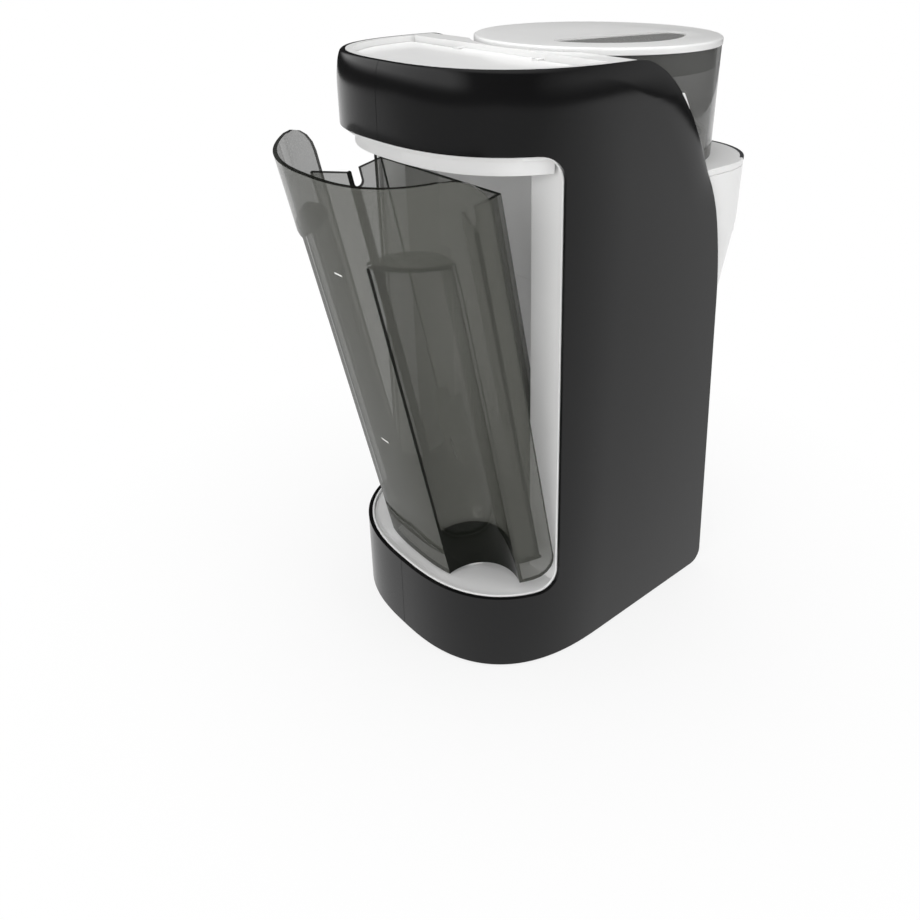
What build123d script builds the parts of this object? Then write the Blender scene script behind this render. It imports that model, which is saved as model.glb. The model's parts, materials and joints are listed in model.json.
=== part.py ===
from build123d import *

import os
from math import atan2, cos, degrees, pi, radians, sin

# Counter-top baby formula maker: water tank at the back, powder container on top, bottle bay in front.
# Millimetres. +Z is up, +Y is the back (tank side), and the origin is on the table under the middle.

os.makedirs("parts", exist_ok=True)

# ---------------------------------------------------------------- casing
half_width = 90.0          # half of the casing's width
nose_length = 97.0         # the rounded back reaches this far behind the straight sides
nose_power = 2.6           # squareness of the rounded back
nose_steps = 18            # spline steps round the back
wall = 2.5                 # moulded wall thickness
fit_gap = 0.3              # gap between covers that meet
seam_gap = 0.3             # parting gap on the rear centre line
foot_height = 1.5          # the rubber feet lift the casing by this much
front_foot_y = -109.0      # front edge of the side panel at the table
front_waist_y = -91.0      # front edge at the waist
brow_low = (-79.5, 91.0)   # the front edge sweeps back through these points (y, depth below the top)
brow_high = (-52.0, 33.0)
crown_y = -3.5             # where the sweep reaches the top
toe_radius = 10.0          # rounded toe of the side panel
base_rim_z = 55.0          # top of the base behind the tank bay
head_top_z = 368.0
head_height = 40.0         # from the head's underside to its top
band_height = 20.0         # the head's top edge rounds in over this height
band_inset = 4.0           # and comes in by this much
crown_lip = 1.2            # flat lip of the top edge, round the deck
opening_low_y = 38.5       # front edge of the tank opening, at the base rim
opening_high_y = 44.5      # the same edge under the head
opening_radius = 14.0      # rounded corners of the tank opening

# ---------------------------------------------------------------- tank bay
floor_top_z = 53.5         # bay floor
jamb_setback = 3.0         # the white jamb lies this far inside the opening's edge
pocket_gap = 2.5           # room beside the tank's chamber in its pocket
pocket_deep_gap = 11.5     # room behind it, low down, where it swings as it tilts
pocket_gap_behind = 2.0    # and above the step
pocket_step_drop = 92.0    # the step lies this far below the head
skirt_inset = 7.5          # ring under the head, from the casing's outline
skirt_drop = 11.0

# ---------------------------------------------------------------- water tank, sizes in its seated place
tank_tilt = 12.24          # the tank stands tilted out by this many degrees
tank_inset = 3.0           # tank panel's outer face, from the casing's outline
tank_wall = 2.4
tank_lift = 0.3            # gap under the tank's foot
tank_inner_y = 17.0        # flat inner wall
chamber_half = 54.0        # half width of the chamber
shoulder_y = 42.0          # the side walls turn outward here
shoulder_depth = 10.5      # and run back by this much
shoulder_inset = 13.0      # to meet the panel this far inside the casing's width
panel_edge_gap = 1.0       # the panel's side edges stand this far behind the opening's edge
panel_top_radius = 20.0
panel_low_radius = 14.0
skirt_height = 15.5        # the panel reaches this far below the bottom plate
tank_headroom = 5.2        # between the panel's rim and the head
rim_step = 29.0            # the panel's rim stands this far above the chamber's
grip_inset_x = 31.4        # the two grip recesses are round, about centres this far inside the casing
grip_inset_y = 5.3
grip_radius = 27.6
grip_headroom = 15.0       # between the top of a grip and the chamber's rim
notch_setback = 4.5        # the notches lie this far in front of the shoulders
notch_width = 6.0
notch_depth = 8.0
pivot_rise = 49.0          # the tilt's axis, above the foot
pivot_setback = 3.9        # and forward of the panel's outer face
valve_x = -22.0
valve_y = 55.0
valve_radius = 9.0
standpipe_radius = 4.5
standpipe_height = 22.0
plunger_radius = 3.0
pin_radius = 1.2
pin_rise = 4.0             # the socket's pin ends this far above the tank's foot
socket_wall = 5.0
socket_rise = 1.8          # the socket stands this far above the bay floor
socket_depth = 5.0
socket_base = 3.0
socket_rib = 2.0
barb_length = 11.0
barb_radius = 4.0
barb_bore_radius = 2.4
seal_height = 3.0
seal_thickness = 2.0
float_x = 30.0
float_travel = 40.0

# ---------------------------------------------------------------- top and powder container
deck_thickness = 2.5
deck_rim = 4.0             # width of the raised rim
deck_front_y = -4.0
lid_front_y = 12.5
lid_thickness = 3.5
lid_sink = 3.5             # the water lid lies this far below the rim
hinge_y = 15.0
hinge_radius = 2.2
hinge_pin_radius = 1.2
running_gap = 0.05         # radial clearance of pins and shafts
fill_width = 70.0
fill_depth = 36.0
fill_y = 48.0
container_y = -66.0        # the container's centre line
container_radius = 74.6
container_drop = 2.0       # its rim lies this far below the casing's top
container_height = 64.7
well_gap = 1.5             # clearance round the container in its well
container_wall = 2.2
powder_lid_reach = 0.5     # the lid reaches this far past the container
window_radius = 53.0       # half-moon window in the powder lid
window_chord = 15.0
window_turn = 171.0
window_corner = 8.0         # radius of its two corners
powder_lid_height = 4.0
lid_seal_height = 13.0
outlet_reach = 48.0        # powder outlet, from the centre line
outlet_size = 18.0
wheel_arms = 8
hub_radius = 11.0
hub_rise = 6.0             # the hub stands this far above the wheel's arms
wheel_height = 10.0
wheel_rib = 3.0            # thickness of its arms and ring
shaft_radius = 4.0

# ---------------------------------------------------------------- drive
gear_module = 1.5
gear_teeth = 32
pinion_teeth = 12
gear_thickness = 6.0
gear_play = 0.25           # clearance between meshing teeth
gear_drop = 11.0           # the gear's underside lies this far below the deck
motor_radius = 14.0
motor_height = 40.0

# ---------------------------------------------------------------- front
front_y = -140.0           # front of the housing over the bottle
front_inset = 3.5          # its sides lie this far inside the casing's width
front_corner = 37.5
front_height = 85.0
front_taper = 6.0          # the housing comes in by this much towards its bottom
taper_height = 46.0        # over this height
front_deck_thickness = 4.0
front_wall_y = -60.0
panel_margin = 3.0         # between the control panel and the housing's rounded corners
panel_rise = 2.0           # and above the housing's taper
panel_drop = 6.0           # and below its top
button_radius = 4.5
button_pitch = 16.0
button_rise = 7.0          # from the panel's lower edge
button_proud = 1.2
button_travel = 0.8
button_gap = 0.25
stem_radius = 1.5
stem_gap = 0.2
display_half = 24.0
display_rise = 16.0        # from the panel's lower edge
display_drop = 3.0         # from its upper edge
funnel_y = -99.0
funnel_mouth = 36.0
funnel_spout = 11.0
funnel_drop = 3.5          # the funnel's rim lies this far below the housing's upright part
funnel_height = 28.5       # from the foot of its cone to the rim
funnel_tip_drop = 5.0      # its tip hangs this far below the housing
funnel_wall = 2.0
funnel_front_half = 45.0
tray_y = -80.0
tray_radius = 61.0
tray_top_z = 20.0
tray_floor_z = 8.0
foot_radius = 8.0
foot_peg_radius = 3.0
screw_radius = 1.5
screw_head_radius = 3.0
screw_boss_radius = 4.0
screw_boss_height = 10.0
slot_length = 23.0         # drain slots of the grille
slot_width = 5.0
slot_pitch = 9.0
slots_across = 9
stand_z = 24.0
stand_radius = 40.0
stand_thickness = 3.0
stand_sink = 2.0           # depth of the dish that the bottle stands in
stand_rail_x = 22.0
stand_rail_web = 3.0
stand_rail_depth = 7.0     # how far the rails stand out of the wall
stand_rail_lip = 2.0       # thickness of their lips
stand_rail_height = 118.0
stand_shoe_height = 20.0

# ---------------------------------------------------------------- works inside
board_gap = 7.5            # the display board lies this far behind the panel's face
board_thickness = 1.6
switch_height = 1.0
standoff_radius = 3.0
standoff_height = 6.0
pump_inset = 45.0          # the pump and heater stand this far inside the casing's width
pump_y = -20.0
pump_z = 30.0
pump_radius = 14.0
pump_length = 46.0
heater_radius = 18.0
heater_low_z = 70.0
heater_headroom = 26.0     # between the heater and the front housing's underside
heater_y = -26.0
bracket_place = 20.0       # its brackets start this far from its ends
bracket_height = 16.0
pipe_radius = 3.0          # pipes that the hoses go over
pipe_length = 8.0
hose_radius = 3.5
spout_setback = 16.0       # the water spout stands this far in front of the container's centre
spout_rise = 11.0          # its pipe lies this far above the funnel's rim
spout_reach = 24.0
spout_gap = 6.0            # its mouth lies this far above the funnel's rim
spout_radius = 5.0
spout_stem_radius = 3.5
spout_bore_radius = 2.4
main_board_x = 10.0
main_board_inset = 14.0    # the main board ends this far inside the casing's width
standoff_place = 8.0       # its standoffs lie this far from its ends
board_parts = [            # width, depth and height of its parts, and their place on it
    (22.0, 14.4, 32.0, 10.0, 20.0),
    (14.0, 12.4, 14.0, 40.0, 14.0),
    (14.0, 2.4, 14.0, 14.0, 70.0),
]
inlet_y = -30.0
inlet_z = 28.0
inlet_width = 22.0
inlet_height = 15.0
inlet_depth = 22.0
inlet_flange = 3.0
inlet_socket_depth = 14.0
inlet_pin_radius = 1.2
inlet_pin_place = 4.0

# ---------------------------------------------------------------- worked out
hollow_x = tray_radius + fit_gap + wall
head_bottom_z = head_top_z - head_height
band_z = head_top_z - band_height
floor_z = floor_top_z - wall
foot_z = floor_top_z + tank_lift
plate_z = foot_z + skirt_height
tank_top_z = head_bottom_z - tank_headroom
panel_height = tank_top_z - foot_z
chamber_top_z = tank_top_z - rim_step
grip_height = chamber_top_z - grip_headroom - foot_z
grip_x = half_width - grip_inset_x
grip_y = nose_length - grip_inset_y
shoulder_end = (half_width - shoulder_inset, shoulder_y + shoulder_depth)
panel_edge_y = opening_high_y + panel_edge_gap
notch_y = shoulder_y - notch_setback
pocket_half = chamber_half + pocket_gap
pocket_deep_y = tank_inner_y - pocket_deep_gap
pocket_shallow_y = tank_inner_y - pocket_gap_behind
pocket_step_z = head_bottom_z - pocket_step_drop
pivot_y = nose_length - tank_inset - pivot_setback
pivot_z = foot_z + pivot_rise
tilt_sin = sin(radians(tank_tilt))
tilt_cos = cos(radians(tank_tilt))
liner_inset = wall + fit_gap
liner_half = half_width - liner_inset
deck_inset = band_inset + crown_lip + fit_gap
deck_bottom_z = head_top_z - lid_sink - lid_thickness - deck_thickness - 1.0
powder_lid_radius = container_radius + powder_lid_reach
container_top_z = head_top_z - container_drop
container_floor_z = container_top_z - container_height
front_top_z = container_floor_z - fit_gap
front_bottom_z = front_top_z - front_height
front_upright_z = front_bottom_z + taper_height
front_half = half_width - front_inset
deck_low_z = front_top_z - front_deck_thickness
gear_z = deck_low_z - gear_drop
waist_z = front_bottom_z
panel_half = front_half - front_corner - panel_margin
panel_bottom_z = front_upright_z + panel_rise
panel_top_z = front_top_z - panel_drop
button_z = panel_bottom_z + button_rise
display_low_z = panel_bottom_z + display_rise
display_high_z = panel_top_z - display_drop
funnel_rim_z = front_upright_z - funnel_drop
funnel_cone_z = funnel_rim_z - funnel_height
funnel_tip_z = front_bottom_z - funnel_tip_drop
gear_distance = gear_module * (gear_teeth + pinion_teeth) / 2
motor_y = container_y + gear_distance


def save(node, name):
    """Label a finished piece and write its STEP file."""
    node.label = name
    export_step(node, f"parts/{name}.step")


def nose_points(inset):
    """Points on the superellipse round the back, from the right side to the left."""
    half = half_width - inset
    depth = nose_length - inset
    points = []
    for step in range(nose_steps + 1):
        angle = pi * step / nose_steps
        side = 1 if 2 * step < nose_steps else -1
        across = abs(cos(angle)) ** (2 / nose_power) if 2 * step != nose_steps else 0
        along = abs(sin(angle)) ** (2 / nose_power) if 0 < step < nose_steps else 0
        points.append((side * half * across, depth * along))
    return points


def plan(inset, plane, to_y):
    """The casing's plan outline, moved in by inset, from the back forward to to_y."""
    half = half_width - inset
    side_y = min(to_y, -wall)
    with BuildSketch(plane, mode=Mode.PRIVATE) as outline:
        with BuildLine():
            Spline(*nose_points(inset), tangents=((0, 1), (0, -1)))
            Polyline((-half, 0), (-half, side_y), (half, side_y), (half, 0))
        make_face()
        if to_y > side_y:
            with Locations((0, (side_y + to_y) / 2)):
                Rectangle(2 * half_width, to_y - side_y, mode=Mode.SUBTRACT)
    return outline.sketch


def slab(inset, low_z, high_z, to_y, mode=Mode.ADD):
    """Extrude the plan outline between two heights."""
    extrude(plan(inset, Plane.XY.offset(low_z), to_y), amount=high_z - low_z, mode=mode)


def crown(inset, to_y, mode=Mode.ADD):
    """The head's top band, rounding in as a quarter of an ellipse."""
    sections = []
    for angle in range(0, 91, 15):
        height = band_z + (head_top_z - band_z) * sin(radians(angle))
        come_in = band_inset * (1 - cos(radians(angle)))
        sections.append(plan(inset + come_in, Plane.XY.offset(height), to_y))
    loft(sections, ruled=True, mode=mode)


def side_profile(setback, low_z):
    """Side view of the casing: a leaning front edge that sweeps back into the top."""
    back_y = nose_length + wall
    top = head_top_z - setback
    with BuildSketch(Plane.YZ, mode=Mode.PRIVATE) as profile:
        with BuildLine():
            Line((front_foot_y + setback, low_z), (front_waist_y + setback, waist_z))
            Spline(
                (front_waist_y + setback, waist_z),
                (brow_low[0] + setback, head_top_z - brow_low[1]),
                (brow_high[0] + setback, head_top_z - brow_high[1] - setback / 2),
                (crown_y + setback, top),
                tangents=((front_waist_y - front_foot_y, waist_z - low_z), (1, 0)),
            )
            Polyline((crown_y + setback, top), (back_y, top), (back_y, low_z), (front_foot_y + setback, low_z))
        make_face()
        fillet(profile.vertices().sort_by(Axis.Y)[0:2].sort_by(Axis.X)[0], toe_radius)
    return profile.sketch


def opening_y(z):
    """Front edge of the tank opening at a height: the edge leans back towards the top."""
    share = (z - base_rim_z) / (head_bottom_z - base_rim_z)
    return opening_low_y + (opening_high_y - opening_low_y) * share


def tilted(y, z):
    """Where a point of the seated tank lies once the tank is tilted out."""
    from_y = y - pivot_y
    from_z = z - pivot_z
    return (0, pivot_y + from_y * tilt_cos + from_z * tilt_sin, pivot_z - from_y * tilt_sin + from_z * tilt_cos)


def tank_level(z):
    """Plane across the tilted tank whose own X and Y are those of the seated tank."""
    return Plane(origin=tilted(0, z), x_dir=(1, 0, 0), z_dir=(0, tilt_sin, tilt_cos))


def tank_side(x=0):
    """Plane along the tilted tank whose own X and Y are the seated tank's Y and Z."""
    origin = tilted(0, 0)
    return Plane(origin=(x, origin[1], origin[2]), x_dir=(0, tilt_cos, -tilt_sin), z_dir=(1, 0, 0))


def box(low, high, mode=Mode.ADD):
    """A box between two corners."""
    with BuildSketch(Plane.XY.offset(low[2]), mode=Mode.PRIVATE) as foot:
        with Locations(((low[0] + high[0]) / 2, (low[1] + high[1]) / 2)):
            Rectangle(high[0] - low[0], high[1] - low[1])
    extrude(foot.sketch, amount=high[2] - low[2], mode=mode)


def rod(x, y, low_z, high_z, radius, mode=Mode.ADD, level=Plane.XY.offset):
    """An upright cylinder; level gives the plane at a height."""
    with BuildSketch(level(low_z), mode=Mode.PRIVATE) as foot:
        with Locations((x, y)):
            Circle(radius)
    extrude(foot.sketch, amount=high_z - low_z, mode=mode)


# ================================================================ casing halves
foot_places = []
screw_places = []
for side in (-1, 1):
    foot_places.append((side * (half_width - 28), nose_length - 39))
    foot_places.append((side * (hollow_x + foot_radius + 0.2), front_foot_y + 23))
    screw_places.append((side * (half_width - 12), 20))
    screw_places.append((side * (half_width - 12), front_wall_y + 10))
    screw_places.append((side * half_width / 3, nose_length - 17))


def casing_half(side):
    """One half of the casing: side is 1 for the +X half and -1 for the -X half."""
    with BuildPart() as half:
        slab(0, foot_height, band_z, front_foot_y)
        crown(0, front_foot_y)
        slab(wall, foot_height, band_z, front_foot_y - wall, mode=Mode.SUBTRACT)
        crown(wall, front_foot_y - wall, mode=Mode.SUBTRACT)
        slab(band_inset + crown_lip, deck_bottom_z - fit_gap, head_top_z + 1, front_foot_y - wall, mode=Mode.SUBTRACT)
        extrude(side_profile(0, foot_height), amount=half_width, both=True, mode=Mode.INTERSECT)
        with BuildSketch(Plane.YZ) as opening:
            with BuildLine():
                Polyline(
                    (opening_low_y, base_rim_z),
                    (opening_high_y, head_bottom_z),
                    (nose_length + wall, head_bottom_z),
                    (nose_length + wall, base_rim_z),
                    close=True,
                )
            make_face()
            fillet(opening.vertices().sort_by(Axis.X)[0:2], opening_radius)
        extrude(amount=half_width, both=True, mode=Mode.SUBTRACT)
        if side > 0:
            with BuildSketch(Plane.YZ.offset(half_width - 2 * wall)):
                with Locations((inlet_y, inlet_z)):
                    Rectangle(inlet_width + 2 * fit_gap, inlet_height + 2 * fit_gap)
            extrude(amount=3 * wall, mode=Mode.SUBTRACT)
        keep = Keep.TOP if side > 0 else Keep.BOTTOM
        split(bisect_by=Plane.YZ.offset(side * seam_gap / 2), keep=keep)
    return half.part


save(casing_half(-1), "side_casing_left")
save(casing_half(1), "side_casing_right")

# ================================================================ base pan, feet and screws
pan_top_z = foot_height + wall
with BuildPart() as base_pan:
    slab(liner_inset, foot_height, pan_top_z, front_wall_y)
    with BuildSketch(Plane.XY.offset(foot_height)):
        with Locations((0, (front_foot_y + 4 * wall + front_wall_y) / 2)):
            Rectangle(2 * liner_half, front_wall_y - front_foot_y - 4 * wall)
    extrude(amount=wall)
    rod(0, tray_y, foot_height, pan_top_z, tray_radius - fit_gap)
    for x, y in screw_places:
        rod(x, y, pan_top_z, pan_top_z + screw_boss_height, screw_boss_radius)
        rod(x, y, foot_height - 1, pan_top_z + screw_boss_height + 1, screw_radius + 2 * running_gap,
            mode=Mode.SUBTRACT)
    for x, y in foot_places:
        rod(x, y, foot_height - 1, pan_top_z + 1, foot_peg_radius + running_gap, mode=Mode.SUBTRACT)
save(base_pan.part, "base_pan")

with BuildPart() as rubber_feet:
    for x, y in foot_places:
        rod(x, y, 0, foot_height, foot_radius)
        rod(x, y, foot_height, pan_top_z + 2, foot_peg_radius)
save(rubber_feet.part, "rubber_feet")

with BuildPart() as base_screws:
    for x, y in screw_places:
        rod(x, y, foot_height - 1, foot_height, screw_head_radius)
        rod(x, y, foot_height, pan_top_z + screw_boss_height - 2, screw_radius)
save(base_screws.part, "base_screws")

# ================================================================ tank bay liner
with BuildPart() as bay_floor:
    slab(liner_inset, floor_z, floor_top_z, pocket_deep_y - wall)
    rod(valve_x, valve_y, floor_z - 1, floor_top_z + 1, valve_radius + socket_wall, mode=Mode.SUBTRACT)
save(bay_floor.part, "bay_floor")

bay_top_z = head_bottom_z - wall - fit_gap
with BuildPart() as bay_wall:
    box((-pocket_half - wall, pocket_deep_y - wall, floor_top_z), (pocket_half + wall, opening_high_y, bay_top_z))
    with BuildSketch(Plane.YZ):
        with BuildLine():
            Polyline(
                (opening_y(floor_top_z) - jamb_setback - wall, floor_top_z),
                (opening_y(bay_top_z) - jamb_setback - wall, bay_top_z),
                (opening_y(bay_top_z) - jamb_setback, bay_top_z),
                (opening_y(floor_top_z) - jamb_setback, floor_top_z),
                close=True,
            )
        make_face()
    extrude(amount=half_width, both=True)
    with BuildSketch(Plane.YZ):
        with BuildLine():
            Polyline(
                (pocket_deep_y, floor_top_z),
                (pocket_deep_y, pocket_step_z),
                (pocket_shallow_y, pocket_step_z + wall),
                (pocket_shallow_y, bay_top_z + wall),
                (half_width, bay_top_z + wall),
                (half_width, floor_top_z),
                close=True,
            )
        make_face()
    extrude(amount=pocket_half, both=True, mode=Mode.SUBTRACT)
    with BuildSketch(Plane.YZ):
        with BuildLine():
            Polyline(
                (opening_y(floor_top_z) - jamb_setback, floor_top_z),
                (opening_y(bay_top_z) - jamb_setback, bay_top_z),
                (half_width, bay_top_z),
                (half_width, floor_top_z),
                close=True,
            )
        make_face()
    extrude(amount=half_width, both=True, mode=Mode.SUBTRACT)
    behind = (pocket_half + 2 * wall, pocket_shallow_y - wall, bay_top_z)
    box((-behind[0], 0, pocket_step_z + 2 * wall), behind, mode=Mode.SUBTRACT)
    slab(liner_inset, floor_top_z, bay_top_z, pocket_deep_y - wall, mode=Mode.INTERSECT)
save(bay_wall.part, "bay_wall")

ceiling_z = head_bottom_z - wall
with BuildPart() as bay_ceiling:
    slab(liner_inset, ceiling_z, head_bottom_z, pocket_shallow_y - wall)
    slab(skirt_inset, head_bottom_z - skirt_drop, ceiling_z, opening_high_y)
    slab(skirt_inset + wall, head_bottom_z - skirt_drop, ceiling_z, opening_high_y - wall, mode=Mode.SUBTRACT)
    with BuildSketch(Plane.XY.offset(ceiling_z)):
        with Locations((0, fill_y)):
            RectangleRounded(fill_width - 4 * wall, fill_depth - 4 * wall, 8)
    extrude(amount=wall, mode=Mode.SUBTRACT)
save(bay_ceiling.part, "bay_ceiling")

# ================================================================ valve socket in the bay floor
socket_top_z = floor_top_z + socket_rise
socket_floor_z = floor_z - socket_depth
barb_z = socket_floor_z - barb_length
with BuildPart() as valve_socket:
    rod(valve_x, valve_y, socket_floor_z - socket_base, socket_top_z, valve_radius + socket_wall - fit_gap)
    rod(valve_x, valve_y, socket_floor_z, socket_top_z, valve_radius, mode=Mode.SUBTRACT)
    rod(valve_x, valve_y, barb_z, socket_floor_z, barb_radius)
    rod(valve_x, valve_y, barb_z - 1, socket_floor_z + 1, barb_bore_radius, mode=Mode.SUBTRACT)
    with BuildSketch(Plane.XY.offset(socket_floor_z)):
        with Locations((valve_x, valve_y)):
            Rectangle(2 * valve_radius + 1, pin_radius)
            Circle(pin_radius + 0.5)
    extrude(amount=socket_rib)
    rod(valve_x, valve_y, socket_floor_z, foot_z + pin_rise, pin_radius)
save(valve_socket.part, "valve_socket")

with BuildPart() as socket_seal:
    rod(valve_x, valve_y, socket_top_z - seal_height, socket_top_z, valve_radius)
    rod(valve_x, valve_y, socket_top_z - seal_height, socket_top_z, valve_radius - seal_thickness,
        mode=Mode.SUBTRACT)
save(socket_seal.part, "socket_seal")

# ================================================================ water tank


def chamber(skin, low_z, high_z):
    """The tank's chamber, moved in by skin on every side, between two seated heights."""
    half = chamber_half - skin
    inner_y = tank_inner_y + skin
    end_x = shoulder_end[0] - skin / 2
    with BuildPart() as body:
        with BuildSketch(tank_level(low_z)) as outline:
            with BuildLine():
                Polyline(
                    (-half, inner_y),
                    (half, inner_y),
                    (half, shoulder_y + skin),
                    (end_x, shoulder_end[1] + skin),
                    (end_x, nose_length),
                    (-end_x, nose_length),
                    (-end_x, shoulder_end[1] + skin),
                    (-half, shoulder_y + skin),
                    close=True,
                )
            make_face()
            fillet(outline.vertices().group_by(Axis.Y)[0], 4 - skin)
        extrude(amount=high_z - low_z)
        extrude(plan(tank_inset + skin, tank_level(low_z), 0), amount=high_z - low_z, mode=Mode.INTERSECT)
    return body.part


chamber_outside = chamber(0, plate_z, chamber_top_z)
chamber_inside = chamber(tank_wall, plate_z + tank_wall, chamber_top_z)

with BuildPart() as panel_blank:
    extrude(plan(tank_inset, tank_level(foot_z), 0), amount=panel_height)
    extrude(plan(tank_inset + tank_wall, tank_level(foot_z), -wall), amount=panel_height, mode=Mode.SUBTRACT)
    with BuildSketch(tank_side()) as edge:
        with Locations(((panel_edge_y + nose_length + 5) / 2, foot_z + panel_height / 2)):
            Rectangle(nose_length + 5 - panel_edge_y, panel_height)
        front_corners = edge.vertices().group_by(Axis.X)[0].sort_by(Axis.Y)
        fillet(front_corners[0], panel_low_radius)
        fillet(edge.vertices().group_by(Axis.X)[0].sort_by(Axis.Y)[-1], panel_top_radius)
    extrude(amount=half_width, both=True, mode=Mode.INTERSECT)

grips = []
for skin in (0, tank_wall):
    with BuildPart() as grip:
        for side in (-1, 1):
            rod(side * grip_x, grip_y, foot_z - 1, foot_z + grip_height + skin, grip_radius + skin, level=tank_level)
    grips.append(grip.part)

with BuildPart() as grip_walls:
    add(grips[1])
    add(grips[0], mode=Mode.SUBTRACT)
    extrude(plan(tank_inset, tank_level(foot_z), 0), amount=grip_height + tank_wall, mode=Mode.INTERSECT)

with BuildPart() as water_tank:
    add(chamber_outside)
    add(chamber_inside, mode=Mode.SUBTRACT)
    add(panel_blank.part)
    add(grips[0], mode=Mode.SUBTRACT)
    add(grip_walls.part)
    with BuildSketch(tank_side()):
        with Locations((notch_y, chamber_top_z - notch_depth / 2)):
            Rectangle(notch_width, notch_depth)
        with Locations((notch_y, chamber_top_z - notch_depth)):
            Circle(notch_width / 2)
    extrude(amount=chamber_half + 1, both=True, mode=Mode.SUBTRACT)
    rod(valve_x, valve_y, foot_z + 2, plate_z, valve_radius - 1, level=tank_level)
    rod(valve_x, valve_y, plate_z, plate_z + standpipe_height, standpipe_radius, level=tank_level)
    rod(valve_x, valve_y, foot_z, plate_z - 2, valve_radius - 3, mode=Mode.SUBTRACT, level=tank_level)
    rod(valve_x, valve_y, foot_z, plate_z + standpipe_height + 1, plunger_radius + running_gap,
        mode=Mode.SUBTRACT, level=tank_level)
save(water_tank.part, "water_tank")

# ---------------------------------------------------------------- valve plunger, spring and float
plunger_low_z = foot_z + 4.5
with BuildPart() as valve_plunger:
    rod(valve_x, valve_y, plunger_low_z, plate_z + 8, plunger_radius, level=tank_level)
    rod(valve_x, valve_y, plunger_low_z, plunger_low_z + 2, plunger_radius + 2, level=tank_level)
save(valve_plunger.part, "valve_plunger")

spring_wire = 0.35
spring_low_z = plunger_low_z + 2 + spring_wire + 0.2
spring_high_z = plate_z - 2 - spring_wire - 0.2
spring_level = tank_level(spring_low_z)
spring_seat = spring_level.from_local_coords((valve_x, valve_y, 0))
with BuildPart() as valve_spring:
    with BuildLine() as coil:
        Helix(1.7, spring_high_z - spring_low_z, plunger_radius + 1.2, center=spring_seat,
              direction=spring_level.z_dir)
    with BuildSketch(Plane(origin=coil.line @ 0, z_dir=coil.line % 0)):
        Circle(spring_wire)
    sweep(path=coil.line, is_frenet=True)
save(valve_spring.part, "valve_spring")

float_half = 6.0
float_height = 18.0
float_depth = 9.0
cage_gap = 0.5
float_low_z = plate_z + tank_wall + cage_gap
cage_low_y = tank_inner_y + tank_wall
cage_high_y = cage_low_y + 2 * cage_gap + float_depth + 2
with BuildPart() as float_cage:
    for side in (-1, 1):
        edge_x = float_x + side * (float_half + cage_gap)
        for low_y, high_y, reach in (
            (cage_low_y, cage_high_y, 0),
            (cage_high_y - 2, cage_high_y, -4),
        ):
            with BuildSketch(tank_level(plate_z + tank_wall)):
                with Locations((edge_x + side * (2 + reach) / 2, (low_y + high_y) / 2)):
                    Rectangle(2 - reach, high_y - low_y)
            extrude(amount=float_height + float_travel + 2 * cage_gap)
save(float_cage.part, "float_cage")

with BuildPart() as tank_float:
    with BuildSketch(tank_level(float_low_z)):
        with Locations((float_x, cage_low_y + cage_gap + float_depth / 2)):
            RectangleRounded(2 * float_half, float_depth, 2)
    extrude(amount=float_height)
save(tank_float.part, "tank_float")

# ================================================================ top deck and water lid
hinge_z = head_top_z - lid_sink - hinge_radius + 0.6
lug_place = 33.0
lid_step_half = 60.0
lug_sweep = hinge_radius * 2 ** 0.5 + fit_gap
with BuildPart() as top_deck:
    slab(deck_inset, deck_bottom_z, head_top_z, deck_front_y)
    slab(deck_inset + deck_rim, deck_bottom_z + deck_thickness, head_top_z + 1, lid_front_y, mode=Mode.SUBTRACT)
    rod(0, container_y, deck_bottom_z - 1, head_top_z + 1, container_radius + 3, mode=Mode.SUBTRACT)
    with BuildSketch(Plane.XY.offset(deck_bottom_z - 1)):
        with Locations((0, fill_y)):
            RectangleRounded(fill_width, fill_depth, 10)
    extrude(amount=deck_thickness + 2, mode=Mode.SUBTRACT)
    for side in (-1, 1):
        lug_x = side * lug_place
        box((lug_x - 2, lid_front_y, deck_bottom_z + deck_thickness),
            (lug_x + 2, hinge_y + hinge_radius, hinge_z + hinge_radius))
    with BuildSketch(Plane.YZ):
        with Locations((hinge_y, hinge_z)):
            Circle(hinge_pin_radius)
    extrude(amount=lug_place + 2, both=True, mode=Mode.SUBTRACT)
    with BuildSketch(Plane.XY.offset(head_top_z - 4)):
        with Locations((0, deck_front_y + 10)):
            RectangleRounded(34, 9, 4)
    extrude(amount=5, mode=Mode.SUBTRACT)
save(top_deck.part, "top_deck")

lid_low_z = head_top_z - lid_sink - lid_thickness
with BuildPart() as water_lid:
    slab(deck_inset + deck_rim + fit_gap, lid_low_z, head_top_z - lid_sink, hinge_y)
    for side in (-1, 1):
        lug_x = side * lug_place
        box((lug_x - 3, lid_front_y, lid_low_z - 1), (lug_x + 3, hinge_y + lug_sweep, head_top_z), mode=Mode.SUBTRACT)
    box((-lid_step_half, lid_front_y, lid_low_z - 1), (lid_step_half, hinge_y + 0.5, head_top_z), mode=Mode.SUBTRACT)
    with BuildSketch(Plane.YZ):
        with Locations((hinge_y, hinge_z)):
            Circle(hinge_radius)
    extrude(amount=lug_place - 4, both=True)
    with BuildSketch(Plane.YZ):
        with Locations((hinge_y, hinge_z)):
            Circle(hinge_pin_radius + running_gap)
    extrude(amount=lug_place - 3, both=True, mode=Mode.SUBTRACT)
save(water_lid.part, "water_lid")

with BuildPart() as lid_hinge_pin:
    with BuildSketch(Plane.YZ):
        with Locations((hinge_y, hinge_z)):
            Circle(hinge_pin_radius)
    extrude(amount=lug_place + 2, both=True)
save(lid_hinge_pin.part, "lid_hinge_pin")

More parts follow.
